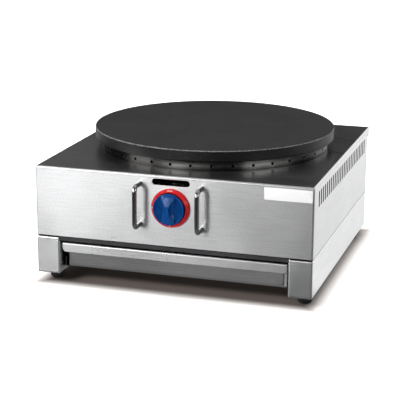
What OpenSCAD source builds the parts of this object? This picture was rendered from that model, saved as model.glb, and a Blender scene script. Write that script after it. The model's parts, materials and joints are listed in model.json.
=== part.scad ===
// Countertop gas crepe maker: folded sheet cabinet on two plinths, round cast plate on a flame ring,
// star burner fed by a push-and-turn tap, and a drip drawer. Millimetres, +X right, +Y back, +Z up.
// The origin is the middle of the footprint, on the surface that the feet stand on.

/* [Cabinet] */
// Width over the side panels
body_w = 450; // [430:1:500]
// Depth from the front face to the rear panel's outer face
body_d = 430; // [425:1:480]
// Height of the casing, from its bottom edge to the top panel
casing_h = 113.8; // [110:0.2:135]
// Thickness of every folded sheet
sheet = 1.2; // [1:0.1:1.6]
// Outer radius of the sheet bends
bend_r = 2.5; // [2:0.1:3.5]
// Height of the turned-down edge of the top panel, and depth of the front panel's side edges
lip_h = 4; // [4:0.5:8]
// How far the top panel reaches behind the rear panel
rear_overhang = 20; // [12:1:30]
// Height of the turned-down edge of that overhang
rear_flange_h = 15; // [8:1:25]
// Width of the hidden flanges that the panels are screwed by
flange_w = 13; // [11:0.5:15]
// Gap at the seam between neighbouring sheets
seam = 0.3; // [0.2:0.1:0.6]

/* [Base] */
// Height of the feet
foot_h = 17; // [12:1:25]
// Diameter of a foot at its top
foot_top_d = 28; // [22:0.5:34]
// Diameter of a foot at the floor
foot_bottom_d = 22; // [17:0.5:25]
// Distance from the front and rear of a plinth to its feet
foot_inset = 37; // [25:1:60]
// Height of the plinths
base_h = 61; // [56:1:75]
// Width of a plinth
plinth_w = 38; // [34:1:44]
// Setback of the base deck from the cabinet's faces
deck_inset = 3; // [2.5:0.5:4]
// Height of the deck's front edge, which shows over the drawer
deck_edge_h = 6; // [4:0.5:8]
// Number of air holes in the deck
air_holes = 8; // [4:1:10]
// Diameter of an air hole
air_hole_d = 40; // [20:1:50]
// Radius of the circle of air holes
air_hole_r = 105; // [95:1:115]

/* [Drawer] */
// Gap between the pan's side and a plinth
pan_side_gap = 5.5; // [4:0.5:8]
// Length of the pan from front to back
pan_len = 385; // [300:1:395]
// Height of the pan
pan_h = 44; // [30:1:45]
// Height of the pan's floor over the bottom of the plinths
pan_drop = 7; // [6:0.5:12]
// Corner radius of the pan
pan_r = 7; // [5:0.5:10]
// Setback of the pan's front from the plinths' front
pan_setback = 20; // [16:1:28]
// Setback of the pull lip from the plinths' front
pull_setback = 6; // [3:0.5:8]
// Height of the pull lip
pull_h = 15; // [10:0.5:20]
// Gap between the pull lip and a plinth
pull_gap = 3; // [1.5:0.5:4]
// Width of the runner that a pan edge slides on
runner_w = 16; // [13:0.5:20]
// Height of a runner's upright leg
runner_h = 14; // [10:1:20]
// Sliding clearance of the pan on its runners
slide_gap = 0.3; // [0.2:0.1:0.5]

/* [Plate] */
// Diameter of the cooking plate
plate_d = 400; // [392:1:410]
// Thickness of the plate
plate_t = 18; // [12:1:24]
// Radius of the plate's rim edges
plate_edge_r = 1.5; // [0.5:0.1:4]
// Distance from the cabinet's front to the plate's centre
plate_setback = 236; // [230:1:240]
// Height of the plate's underside over the top panel
plate_gap = 16; // [14:0.5:25]
// Width of the ring-shaped rib that centres the plate
spigot_w = 5; // [3:0.5:10]
// Depth of that rib
spigot_h = 5; // [3:0.5:5.5]
// Radial play of the rib in the flame ring
spigot_gap = 1; // [0.5:0.1:2]
// Gap between the plate and the flame ring's rim
rest_gap = 0.2; // [0.1:0.1:0.4]

/* [Flame ring] */
// Outer diameter of the ring
ring_d = 380; // [370:1:384]
// Wall of the ring
ring_t = 1.5; // [1:0.1:2.5]
// Number of flue holes round the ring
ring_holes = 36; // [24:1:48]
// Diameter of a flue hole
ring_hole_d = 4.8; // [3:0.1:6]
// Height of the flue holes over the top panel
ring_hole_z = 6.7; // [5:0.1:7]
// How far the ring reaches below the top panel
ring_skirt = 22; // [15:1:30]
// Width of a ring leg
leg_w = 25; // [15:1:35]
// Thickness of a ring leg
leg_t = 3; // [2:0.1:4]
// Length of a leg's foot
leg_foot = 25; // [18:1:35]
// Clearance between the ring and the hole in the top panel
ring_gap = 0.6; // [0.3:0.1:1]

/* [Vents] */
// Number of upright vents in a side panel
vent_count = 26; // [12:1:26]
// Spacing of the vents
vent_pitch = 14.7; // [10:0.1:15]
// Width of a vent
vent_w = 5.5; // [3:0.1:7]
// Height of a vent
vent_h = 24; // [12:0.5:34]
// Distance from the front to the middle of the first vent
vent_start = 34; // [25:0.5:38]
// Distance from the top panel to the top of the vents
vent_drop = 13.5; // [10:0.5:24]
// Number of vents in the rear panel
rear_vent_count = 14; // [2:2:20]

/* [Front panel] */
// Length of the lighting slot
slot_len = 61; // [40:1:80]
// Height of the lighting slot
slot_h = 10; // [8:0.5:12]
// Distance from the top panel to the middle of the slot
slot_drop = 10.5; // [10.5:0.1:12]
// Distance from the top panel to the tap's axis
tap_drop = 50; // [49:0.5:56]
// Distance of a handle from the middle
handle_x = 50; // [45:1:80]
// Distance from the top panel to the middle of a handle
handle_drop = 47.5; // [46:0.5:56]
// Spacing of a handle's legs
handle_span = 65; // [50:1:66]
// Distance from the panel to the middle of the bar
handle_reach = 27; // [25:1:40]
// Diameter of the bar
handle_d = 7.5; // [7:0.1:10]
// Bend radius of the bar's middle line
handle_bend = 8; // [7:0.5:12]

/* [Knob] */
// Outer diameter of the dial ring
dial_d = 61; // [60:0.5:70]
// Height of the dial ring's outer edge
dial_edge_h = 4.6; // [3:0.1:6]
// Height of the dial ring's inner edge
dial_h = 8.6; // [7.5:0.1:9.5]
// Thickness of the dial ring's floor
dial_floor = 1.5; // [1:0.1:2]
// Number of fine grooves round the dial ring
dial_grooves = 60; // [24:1:72]
// Diameter of the knob's skirt
knob_d = 50; // [46:0.5:52]
// Clearance between the knob's skirt and the dial ring
knob_gap = 0.6; // [0.4:0.1:1]
// Height of the knob's rim over the panel
knob_rim_h = 14; // [12.5:0.1:15]
// Height of the knob's grip over the panel
knob_grip_h = 20.5; // [19:0.5:22]
// Width of the grip's back at its waist
grip_waist = 5; // [4:0.5:9]
// Width of the grip at its ends
grip_end = 20.5; // [16:0.5:22]
// Radius of the round scoops on both sides of the grip
scoop_r = 26; // [24:0.5:32]
// Radius of the hollow between a scoop's floor and the grip's back
scoop_hollow = 9; // [8.5:0.5:12]
// Depth of the knob's face below its rim
face_dip = 1.4; // [0.8:0.1:1.6]
// Wall of the knob's skirt
knob_wall = 3; // [2:0.1:4]
// Travel of the knob when it is pushed
knob_push = 4; // [2:0.1:4.2]

/* [Tap] */
// Diameter of the tap's stem
stem_d = 8; // [6:0.1:8.5]
// Depth of the flat on the stem
stem_flat = 1.2; // [0.6:0.1:2]
// Radial clearance of stem and plug in the tap
tap_fit = 0.05; // [0.03:0.01:0.1]
// Diameter of the threaded neck
neck_d = 16; // [14:0.1:18]
// Size across the flats of the tap nut
nut_af = 22; // [20:0.5:26]
// Height of the tap nut
nut_h = 3.5; // [3:0.1:4.5]
// Diameter of the tap body
tap_d = 28; // [26:0.5:32]
// Diameter of the plug
plug_d = 18; // [16:0.1:20]
// Length of the plug
plug_len = 24; // [21:0.5:25]
// Diameter of the spring chamber
chamber_d = 14.4; // [13.6:0.1:15.5]
// Length of the spring chamber
chamber_len = 16; // [15:0.5:17]
// Wire of the stem spring
spring_wire = 1; // [0.8:0.1:1.1]
// Number of turns of the stem spring
spring_turns = 5; // [4:1:6]
// Bore of the gas ways
gas_bore = 7; // [4:0.5:8]

/* [Burner] */
// Number of burner arms
arm_count = 8; // [4:4:8]
// Radius that the arms reach
arm_reach = 148; // [115:1:150]
// Diameter of an arm
arm_d = 18; // [15:0.5:20]
// Bore of an arm
arm_bore = 12; // [8:0.5:12.5]
// Number of flame ports along an arm
port_count = 7; // [3:1:8]
// Diameter of a flame port
port_d = 2.6; // [1.5:0.1:3]
// Diameter of the burner's hub
hub_d = 62; // [56:1:70]
// Wall of the hub
hub_wall = 4; // [3:0.5:6]
// Height of the arms over the mixing tube
arm_rise = 14; // [10:0.5:16]
// Diameter of the mixing tube
mix_d = 24; // [23:0.5:26]
// Bore of the mixing tube
mix_bore = 20; // [18:0.5:20.5]
// Length of the air shutter
shutter_len = 20; // [16:0.5:24]
// Wall of the air shutter
shutter_t = 1.5; // [1:0.1:2]
// Number of air windows
window_count = 3; // [2:1:3]
// Thickness of the stand's strip
stand_t = 2.5; // [2:0.1:3]
// Width of the stand's strip
stand_w = 40; // [24:1:50]

/* [Gas supply] */
// Diameter of the inlet's pipe thread
inlet_d = 20.955; // [18:0.005:27]
// Reach of the inlet behind the rear panel
inlet_reach = 30; // [26:1:40]
// Distance of the inlet from the cabinet's right side
inlet_inset = 60; // [50:1:70]
// Size across the flats of the inlet's hexagon
inlet_af = 30; // [28:0.5:36]
// Diameter of the supply pipe
pipe_d = 14; // [10:0.5:15]
// Bend radius of the supply pipe
pipe_bend = 22; // [12:0.5:40]
// Distance of the pilot from the middle
pilot_x = 43; // [38:1:50]
// Spacing of pilot and thermocouple
probe_gap = 11; // [10:0.5:14]
// Distance from the front face to the front edge of the pilot bracket
pilot_setback = 66; // [60:1:72]
// Height of the pilot bracket's shelf over the tap's axis
pilot_rise = 22; // [18:0.5:26]

/* [Fasteners] */
// Thread diameter of the panel, deck and handle screws
screw_d = 4; // [3:0.1:4.2]
// Head diameter of those screws
screw_head_d = 8; // [7:0.1:9]
// Head height of those screws
screw_head_h = 2.6; // [2:0.1:3]
// Length of those screws under the head
screw_len = 8; // [6.5:0.5:9]
// Thread diameter of the foot screws
foot_screw_d = 6; // [5:0.1:6.5]
// Clearance of a screw in its hole, on the diameter
screw_gap = 0.4; // [0.2:0.1:0.8]

/* [Hidden] */
$fn = 96;

// Cut tools reach this far past the faces that they open
over = 1;

// Where the faces lie
front_reach = max(handle_reach + handle_d / 2, knob_grip_h);
rear_reach = max(rear_overhang, inlet_reach);
front_y = (front_reach - body_d - rear_reach) / 2;
inner_y = front_y + sheet;
rear_y = front_y + body_d;
deck_z = foot_h + base_h;
casing_z = deck_z + sheet;
top_z = casing_z + casing_h;
panel_top_z = top_z - lip_h - seam;
plate_z = top_z + plate_gap;
plate_y = front_y + plate_setback;
bay_x = body_w / 2 - plinth_w;
tap_z = top_z - tap_drop;
foot_x = body_w / 2 - plinth_w / 2;
foot_seat = foot_h * 0.5;
foot_nut_h = 5;
side_flange_x = body_w / 2 - flange_w / 2;
side_screw_y = [for (t = [0.14, 0.5, 0.86]) front_y + t * body_d];
front_screw_x = body_w * 0.3;
rear_screw_z = [for (t = [0.12, 0.5, 0.82]) casing_z + t * casing_h];
pan_z = foot_h + pan_drop;
pan_top = pan_z + pan_h;
pan_y = front_y + pan_setback;
pan_w = 2 * (bay_x - pan_side_gap);
pull_w = 2 * (bay_x - pull_gap);
runner_z = pan_z - slide_gap;
ring_in_r = ring_d / 2 - ring_t;
leg_r = ring_in_r - leg_w * leg_w / 8 / ring_in_r - seam;
leg_angles = [45, 135, 225, 315];

// Tap, counted from the panel's outer face, outwards positive
neck_front = dial_floor + nut_h + 0.5;
shoulder = 4;
stop_gap = 0.2;
spring_front = -sheet - shoulder - stop_gap - 1.8;
plug_front = -sheet - shoulder - chamber_len;
plug_back = plug_front - plug_len;
plug_play = 0.4;
injector_d = 12;
injector_socket = 5;
tap_back = plug_back - plug_play - 2 - injector_socket;
knob_back = dial_floor + knob_push + 0.5;
knob_floor = neck_front + knob_push + 0.4;
stem_front = knob_rim_h + 2;
stem_tail = 6;
stem_flat_run = knob_push + 0.4;
collar_d = chamber_d - 0.8;
spring_d = chamber_d - spring_wire - 1.2;
boss_x = tap_d / 2 + 12;
port_z = plug_front - plug_len * 0.72;
injector_hex = 8;
tip_d = 8;
tip_len = 9;
magnet_d = 16;
magnet_drop = tap_d / 2 + 4;
magnet_len = 16;
magnet_hex_h = 4;
magnet_low = tap_z - magnet_drop - magnet_len - magnet_hex_h;

// Burner
cap_t = 2;
mix_y = front_y - tap_back + injector_hex + 3;
window_len = shutter_len - 8;
shutter_y = mix_y + seam;
collar_y = shutter_y + shutter_len + seam;
hub_low = tap_z - mix_d / 2 - hub_wall;
arm_z = tap_z + arm_rise;
hub_high = arm_z + arm_d / 2;
arm_start = hub_d / 2 - hub_wall - 1;
port_start = 5;
port_margin = 9;
port_step = (arm_reach - hub_d / 2 - port_start - port_margin) / (port_count - 1);
stand_half = hub_d / 2 - 6;
stand_foot = 22;

// Supply and pilot
inlet_x = body_w / 2 - inlet_inset;
hex_t = 8;
socket_len = 8;
fitting_in = 22;
pilot_y = front_y + pilot_setback;
shelf_z = tap_z + pilot_rise;
bracket_t = 1.5;
shelf_len = 18;
probe_x = pilot_x - probe_gap;
jet_y = pilot_y + shelf_len / 2;
pilot_d = 8;
pilot_stem = 10;
bracket_margin = 7;
probe_d = 5;
probe_tail = 18;
probe_tip = 14;
tube_d = 4;
lead_d = 2.5;
lead_z = (magnet_low + casing_z) / 2;

// Vector helpers for bent tubes
function unit(v) = v / norm(v);
function heading(p, i) = unit(p[i + 1] - p[i]);
function turn(p, i) = acos(heading(p, i - 1) * heading(p, i));
function setback(p, i, r) = i == 0 || i == len(p) - 1 ? 0 : r * tan(turn(p, i) / 2);

// Round rod from one point to another
module rod(a, b, d) {
    v = b - a;
    translate(a)
        rotate([0, acos(v[2] / norm(v)), atan2(v[1], v[0])])
            cylinder(d = d, h = norm(v));
}

// Bend of a tube at corner i of its route
module elbow(p, i, d, r) {
    a = heading(p, i - 1);
    b = heading(p, i);
    n = unit(b - a * (a * b));
    k = cross(-n, a);
    c = p[i] - a * setback(p, i, r) + n * r;
    multmatrix([
        [-n[0], a[0], k[0], c[0]],
        [-n[1], a[1], k[1], c[1]],
        [-n[2], a[2], k[2], c[2]],
        [0, 0, 0, 1]
    ])
        rotate_extrude(angle = turn(p, i))
            translate([r, 0])
                circle(d = d);
}

// Tube along a route of straight runs, bent to radius r at each corner
module bent_tube(p, d, r) {
    for (i = [0 : len(p) - 2])
        rod(p[i] + heading(p, i) * setback(p, i, r),
            p[i + 1] - heading(p, i) * setback(p, i + 1, r), d);
    for (i = [1 : len(p) - 2])
        elbow(p, i, d, r);
}

// Rectangle with all four corners rounded, centred
module round_rect(w, h, r) {
    square([w - 2 * r, h], center = true);
    square([w, h - 2 * r], center = true);
    for (sx = [-1, 1], sy = [-1, 1])
        translate([sx * (w / 2 - r), sy * (h / 2 - r)])
            circle(r);
}

// Rectangle centred on x that starts at y = 0 with its two corners there rounded
module front_round(w, d, r) {
    translate([-w / 2, r]) square([w, d - r]);
    translate([-w / 2 + r, 0]) square([w - 2 * r, d]);
    for (s = [-1, 1])
        translate([s * (w / 2 - r), r])
            circle(r);
}

// Folded channel: web along x at y = 0, two flanges towards +y
module channel(w, d, r, t) {
    difference() {
        front_round(w, d, r);
        translate([0, t]) front_round(w - 2 * t, d, r - t);
    }
}

// Box with rounded top and upright edges: x centred, from y = 0 and z = 0
module soft_box(w, d, h, r) {
    intersection() {
        translate([0, d / 2, 0]) linear_extrude(h) round_rect(w, d, r);
        translate([0, d, h]) rotate([-90, 0, 180]) linear_extrude(d) front_round(w, h, r);
        translate([w / 2, d / 2, h]) rotate([-90, 0, 90]) linear_extrude(w) front_round(d, h, r);
    }
}

// Closed tube of rounded section along y, with the edges of its front face rounded
module post_box(w, d, h, r) {
    intersection() {
        translate([0, d, h / 2]) rotate([90, 0, 0]) linear_extrude(d) round_rect(w, h, r);
        linear_extrude(h) front_round(w, d, r);
        translate([w / 2, 0, h / 2])
            rotate([0, -90, 0]) linear_extrude(w) front_round(h, d, r);
    }
}

// Slot along x with round ends, as a cutter along y
module slot_cut(len, h, depth) {
    rotate([-90, 0, 0]) {
        for (s = [-1, 1])
            translate([s * (len - h) / 2, 0, 0])
                cylinder(d = h, h = depth);
        translate([-(len - h) / 2, -h / 2, 0])
            cube([len - h, h, depth]);
    }
}

// Pan-head screw along z: the head stands on z = 0, the shank points down
module screw(d = screw_d, len = screw_len, head_d = screw_head_d, head_h = screw_head_h) {
    translate([0, 0, -len]) cylinder(d = d, h = len + over);
    difference() {
        intersection() {
            cylinder(d = head_d, h = head_h);
            translate([0, 0, head_h - head_d]) sphere(r = head_d);
        }
        for (a = [0, 90])
            rotate(a)
                translate([-head_d * 0.3, -head_d * 0.06, head_h * 0.45])
                    cube([head_d * 0.6, head_d * 0.12, head_h]);
    }
}

// Hexagonal nut from z = 0
module hex_nut(af, h, bore) {
    difference() {
        cylinder(d = af / cos(30), h = h, $fn = 6);
        translate([0, 0, -over]) cylinder(d = bore, h = h + 2 * over);
    }
}

// Frame of the tap: origin on the panel's face at the tap's axis, x right, y up, z outwards
module at_tap() {
    translate([0, front_y, tap_z]) rotate([90, 0, 0]) children();
}

// Places of the screws through the side flanges, the deck and the plinths
module at_side_screws() {
    for (s = [-1, 1], y = side_screw_y)
        translate([s * side_flange_x, y, casing_z + sheet]) children();
}

// Places of the screws through the front flange and the deck
module at_front_screws() {
    for (s = [-1, 1])
        translate([s * front_screw_x, front_y + flange_w / 2 + deck_inset, casing_z + sheet]) children();
}

// Places of the screws in the rear panel
module at_rear_screws() {
    for (s = [-1, 1], z = rear_screw_z)
        translate([s * side_flange_x, rear_y, z]) rotate([-90, 0, 0]) children();
}

// Places of the screws in the feet of the ring legs, the burner stand and the pilot bracket
module at_leg_screws() {
    for (a = leg_angles)
        translate([0, plate_y, casing_z])
            rotate(a) translate([leg_r - leg_foot * 0.6, 0, leg_t]) children();
}

module at_stand_screws() {
    for (s = [-1, 1])
        translate([s * (stand_half + stand_foot * 0.55), plate_y, casing_z + stand_t]) children();
}

module at_bracket_screw() {
    translate([-pilot_x + probe_gap / 2, jet_y, casing_z + bracket_t])
        children();
}

// Places of the handle screws, pointing out of the panel
module at_handle_screws(s) {
    for (t = [-1, 1])
        translate([s * handle_x, inner_y, top_z - handle_drop + t * handle_span / 2])
            rotate([-90, 0, 0]) children();
}

// Drill for a panel screw, through the sheets under it
module screw_hole() {
    translate([0, 0, -screw_len - over]) cylinder(d = screw_d + screw_gap, h = screw_len + 2 * over);
}

module top_panel() {
    color([0.42, 0.43, 0.45])
        difference() {
            translate([0, front_y, top_z - rear_flange_h])
                soft_box(body_w, body_d + rear_overhang, rear_flange_h, bend_r);
            translate([0, front_y + sheet, top_z - rear_flange_h - sheet])
                soft_box(body_w - 2 * sheet, body_d + rear_overhang - 2 * sheet, rear_flange_h,
                         bend_r - sheet);
            translate([-body_w, front_y - over, top_z - rear_flange_h - over])
                cube([2 * body_w, body_d + over + seam, rear_flange_h + over - lip_h]);
            translate([0, plate_y, top_z - 2 * sheet])
                cylinder(d = ring_d + 2 * ring_gap, h = 3 * sheet, $fn = 180);
        }
}

module front_panel() {
    color([0.86, 0.87, 0.88])
        difference() {
            union() {
                translate([0, front_y, casing_z])
                    linear_extrude(panel_top_z - casing_z) channel(body_w, lip_h, bend_r, sheet);
                translate([-body_w / 2 + flange_w + lip_h, front_y + sheet / 2, casing_z])
                    cube([body_w - 2 * flange_w - 2 * lip_h, flange_w + deck_inset, sheet]);
            }
            translate([0, front_y - over, top_z - slot_drop])
                slot_cut(slot_len, slot_h, sheet + 2 * over);
            at_tap()
                translate([0, 0, -sheet - over])
                    cylinder(d = neck_d + screw_gap, h = sheet + 2 * over);
            for (s = [-1, 1])
                at_handle_screws(s) screw_hole();
            at_front_screws() screw_hole();
        }
}

// Right-hand side panel: web with vents, flanges at the front, the rear and the bottom
module side_panel() {
    front_edge = front_y + lip_h + seam;
    rear_edge = rear_y - sheet;
    length = rear_edge - front_edge;
    difference() {
        union() {
            translate([body_w / 2, front_edge + length / 2, casing_z])
                linear_extrude(panel_top_z - casing_z)
                    rotate(90) channel(length, flange_w, bend_r, sheet);
            translate([body_w / 2 - flange_w, front_edge + sheet / 2, casing_z])
                cube([flange_w - sheet / 2, length - sheet, sheet]);
        }
        for (i = [0 : vent_count - 1])
            translate([body_w / 2 - sheet - over,
                       front_y + vent_start + i * vent_pitch - vent_w / 2,
                       top_z - vent_drop - vent_h])
                cube([sheet + 2 * over, vent_w, vent_h]);
        at_side_screws() screw_hole();
        at_rear_screws() screw_hole();
    }
}

module right_side_panel() {
    color([0.8, 0.81, 0.82]) side_panel();
}

module left_side_panel() {
    color([0.8, 0.81, 0.82]) mirror([1, 0, 0]) side_panel();
}

module rear_panel() {
    rear_top = top_z - sheet - seam;
    color([0.78, 0.79, 0.8])
        difference() {
            union() {
                translate([-body_w / 2, rear_y - sheet, casing_z])
                    cube([body_w, sheet, panel_top_z - casing_z]);
                translate([-body_w / 2 + bend_r + seam, rear_y - sheet, casing_z])
                    cube([body_w - 2 * bend_r - 2 * seam, sheet, rear_top - casing_z]);
            }
            for (i = [0 : rear_vent_count - 1])
                translate([(i - (rear_vent_count - 1) / 2) * vent_pitch - vent_w / 2,
                           rear_y - sheet - over, top_z - vent_drop - vent_h - rear_flange_h])
                    cube([vent_w, sheet + 2 * over, vent_h]);
            translate([inlet_x, rear_y - sheet - over, tap_z])
                rotate([-90, 0, 0]) cylinder(d = inlet_d + screw_gap, h = sheet + 2 * over);
            at_rear_screws() screw_hole();
        }
}

module base_deck() {
    color([0.45, 0.45, 0.46])
        difference() {
            union() {
                translate([-body_w / 2 + deck_inset, front_y + deck_inset, deck_z])
                    cube([body_w - 2 * deck_inset, body_d - 2 * deck_inset, sheet]);
                translate([-bay_x + seam, front_y + deck_inset, deck_z - deck_edge_h])
                    cube([2 * (bay_x - seam), sheet, deck_edge_h + sheet / 2]);
            }
            for (i = [0 : air_holes - 1])
                translate([0, plate_y, deck_z - over])
                    rotate(i * 360 / air_holes)
                        translate([air_hole_r, 0, 0])
                            cylinder(d = air_hole_d, h = sheet + 2 * over);
            at_side_screws() screw_hole();
            at_front_screws() screw_hole();
            at_leg_screws() screw_hole();
            at_stand_screws() screw_hole();
            at_bracket_screw() screw_hole();
        }
}

// Right-hand plinth: folded box whose rear end the base rear panel closes
module plinth() {
    difference() {
        translate([foot_x, front_y, foot_h]) post_box(plinth_w, body_d - sheet, base_h, bend_r);
        translate([foot_x, front_y + sheet, foot_h + sheet])
            post_box(plinth_w - 2 * sheet, body_d, base_h - 2 * sheet, bend_r - sheet);
        for (y = [front_y + foot_inset, rear_y - foot_inset])
            translate([foot_x, y, foot_h - over])
                cylinder(d = foot_screw_d + screw_gap, h = sheet + 2 * over);
        at_side_screws() screw_hole();
    }
}

module right_plinth() {
    color([0.72, 0.73, 0.74]) plinth();
}

module left_plinth() {
    color([0.72, 0.73, 0.74]) mirror([1, 0, 0]) plinth();
}

module base_rear_panel() {
    low = foot_h + seam;
    color([0.7, 0.71, 0.72]) {
        translate([-body_w / 2, rear_y - sheet, low])
            cube([body_w, sheet, deck_z - seam - low]);
        translate([-bay_x + seam, rear_y - flange_w, deck_z - seam - sheet])
            cube([2 * (bay_x - seam), flange_w - sheet / 2, sheet]);
    }
}

// Right-hand runner: angle strip on the plinth's inner wall
module runner() {
    front_end = pan_y + pan_r;
    rear_end = rear_y - flange_w - seam;
    translate([bay_x, rear_end, runner_z])
        rotate([90, 0, 0])
            linear_extrude(rear_end - front_end)
                polygon([[0, runner_h], [-sheet, runner_h], [-sheet, 0], [-runner_w, 0],
                         [-runner_w, -sheet], [0, -sheet]]);
}

module right_runner() {
    color([0.6, 0.6, 0.61]) runner();
}

module left_runner() {
    color([0.6, 0.6, 0.61]) mirror([1, 0, 0]) runner();
}

// Tapered foot with a recess for its screw
module foot() {
    round_r = 2;
    recess_r = foot_screw_d;
    bore_r = (foot_screw_d + screw_gap) / 2;
    rotate_extrude()
        polygon([[recess_r, 0], [foot_bottom_d / 2 - round_r, 0], [foot_bottom_d / 2, round_r],
                 [foot_top_d / 2, foot_h], [bore_r, foot_h], [bore_r, foot_seat],
                 [recess_r, foot_seat]]);
}

module foot_at(sx, rear) {
    translate([sx * foot_x, rear ? rear_y - foot_inset : front_y + foot_inset, 0]) children();
}

module front_left_foot() {
    color([0.06, 0.06, 0.06]) foot_at(-1, false) foot();
}

module front_right_foot() {
    color([0.06, 0.06, 0.06]) foot_at(1, false) foot();
}

module rear_left_foot() {
    color([0.06, 0.06, 0.06]) foot_at(-1, true) foot();
}

module rear_right_foot() {
    color([0.06, 0.06, 0.06]) foot_at(1, true) foot();
}

module foot_screws() {
    len = foot_h - foot_seat + sheet + foot_nut_h + 2;
    color([0.7, 0.7, 0.72])
        for (s = [-1, 1], rear = [false, true])
            foot_at(s, rear)
                translate([0, 0, foot_seat])
                    mirror([0, 0, 1])
                        screw(foot_screw_d, len, foot_screw_d * 1.75, foot_screw_d * 0.6);
}

module foot_nuts() {
    color([0.7, 0.7, 0.72])
        for (s = [-1, 1], rear = [false, true])
            foot_at(s, rear)
                translate([0, 0, foot_h + sheet])
                    hex_nut(foot_screw_d * 1.667, foot_nut_h, foot_screw_d + screw_gap);
}

module flame_ring() {
    color([0.75, 0.74, 0.72])
        difference() {
            translate([0, plate_y, top_z - ring_skirt])
                rotate_extrude($fn = 180)
                    translate([ring_in_r, 0])
                        square([ring_t, ring_skirt + plate_gap - rest_gap]);
            for (i = [0 : ring_holes - 1])
                translate([0, plate_y, top_z + ring_hole_z])
                    rotate([0, 90, (i + 0.5) * 360 / ring_holes])
                        translate([0, 0, ring_in_r - leg_t])
                            cylinder(d = ring_hole_d, h = ring_t + 2 * leg_t, $fn = 24);
        }
}

module ring_legs() {
    color([0.55, 0.55, 0.56])
        for (a = leg_angles)
            translate([0, plate_y, casing_z])
                rotate(a)
                    difference() {
                        translate([leg_r, leg_w / 2, 0])
                            rotate([90, 0, 0])
                                linear_extrude(leg_w)
                                    polygon([[0, 0], [0, casing_h - lip_h], [-leg_t, casing_h - lip_h],
                                             [-leg_t, leg_t], [-leg_foot, leg_t], [-leg_foot, 0]]);
                        translate([leg_r - leg_foot * 0.6, 0, -over])
                            cylinder(d = screw_d + screw_gap, h = leg_t + 2 * over);
                    }
}

// Cast burner: hollow hub, ported arms and mixing tube in one piece
module star_burner() {
    hub_y = plate_y - mix_y;
    color([0.24, 0.24, 0.25])
        difference() {
            union() {
                translate([0, plate_y, hub_low]) cylinder(d = hub_d, h = hub_high - hub_low);
                for (i = [0 : arm_count - 1])
                    translate([0, plate_y, arm_z])
                        rotate([0, 90, (i + 0.5) * 360 / arm_count])
                            cylinder(d = arm_d, h = arm_reach);
                translate([0, mix_y, tap_z])
                    rotate([-90, 0, 0]) cylinder(d = mix_d, h = hub_y);
                translate([0, collar_y, tap_z])
                    rotate([-90, 0, 0]) cylinder(d = mix_d + 2 * shutter_t + 2, h = 4);
            }
            translate([0, plate_y, hub_low + hub_wall])
                cylinder(d = hub_d - 2 * hub_wall, h = hub_high - hub_low - 2 * hub_wall);
            for (i = [0 : arm_count - 1])
                translate([0, plate_y, arm_z])
                    rotate([0, 0, (i + 0.5) * 360 / arm_count]) {
                        translate([arm_start, 0, 0])
                            rotate([0, 90, 0]) cylinder(d = arm_bore, h = arm_reach - arm_start - 4);
                        for (k = [0 : port_count - 1])
                            translate([hub_d / 2 + port_start + k * port_step, 0, 0])
                                cylinder(d = port_d, h = arm_d, $fn = 16);
                    }
            translate([0, mix_y - over, tap_z])
                rotate([-90, 0, 0]) cylinder(d = mix_bore, h = hub_y + over - hub_d / 4);
            air_windows(mix_d);
            translate([0, plate_y, hub_low - over])
                cylinder(d = screw_d + screw_gap, h = hub_wall + 2 * over);
        }
}

// Air windows cut through a tube of diameter d at the mixer
module air_windows(d) {
    for (i = [0 : window_count - 1])
        translate([0, shutter_y + shutter_len / 2, tap_z])
            rotate([0, i * 360 / window_count, 0])
                translate([-d * 0.17, -window_len / 2, 0])
                    cube([d * 0.34, window_len, d]);
}

module burner_stand() {
    top = hub_low - casing_z;
    t = stand_t;
    a = stand_half;
    f = stand_half + stand_foot;
    color([0.55, 0.55, 0.56])
        difference() {
            translate([0, plate_y + stand_w / 2, casing_z])
                rotate([90, 0, 0])
                    linear_extrude(stand_w)
                        polygon([[-f, 0], [-a + t, 0], [-a + t, top - t], [a - t, top - t], [a - t, 0],
                                 [f, 0], [f, t], [a, t], [a, top], [-a, top], [-a, t], [-f, t]]);
            at_stand_screws() screw_hole();
            translate([0, plate_y, hub_low - stand_t - over])
                cylinder(d = screw_d + screw_gap, h = stand_t + 2 * over);
        }
}

module mixer_cap() {
    rim_d = mix_d + 2 * shutter_t + 1;
    color([0.8, 0.66, 0.32])
        translate([0, mix_y, tap_z])
            rotate([-90, 0, 0])
                difference() {
                    union() {
                        translate([0, 0, -cap_t]) cylinder(d = rim_d, h = cap_t);
                        cylinder(d = mix_bore - 2 * tap_fit, h = cap_t);
                    }
                    translate([0, 0, -cap_t - over])
                        cylinder(d = tip_d + 0.6, h = 2 * cap_t + 2 * over);
                }
}

module air_shutter() {
    bore = mix_d + 2 * tap_fit;
    outer = bore + 2 * shutter_t;
    color([0.66, 0.67, 0.68])
        difference() {
            union() {
                translate([0, shutter_y, tap_z]) rotate([-90, 0, 0]) cylinder(d = outer, h = shutter_len);
                translate([-shutter_t / 2, shutter_y, tap_z + bore / 2 + shutter_t / 2])
                    cube([shutter_t, shutter_len * 0.3, 8]);
            }
            translate([0, shutter_y - over, tap_z])
                rotate([-90, 0, 0]) cylinder(d = bore, h = shutter_len + 2 * over);
            air_windows(mix_d);
        }
}

module injector() {
    color([0.82, 0.66, 0.3])
        at_tap()
            translate([0, 0, tap_back])
                difference() {
                    union() {
                        cylinder(d = injector_d - 2 * tap_fit, h = injector_socket - 0.5);
                        translate([0, 0, -injector_hex])
                            cylinder(d = injector_d / cos(30) + 2, h = injector_hex, $fn = 6);
                        translate([0, 0, -injector_hex - tip_len])
                            cylinder(d1 = tip_d * 0.7, d2 = tip_d, h = tip_len);
                    }
                    translate([0, 0, -injector_hex - tip_len + 2])
                        cylinder(d = gas_bore * 0.6, h = injector_hex + tip_len + injector_socket);
                    translate([0, 0, -injector_hex - tip_len - over]) cylinder(d = 1.4, h = 4);
                }
}

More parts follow.
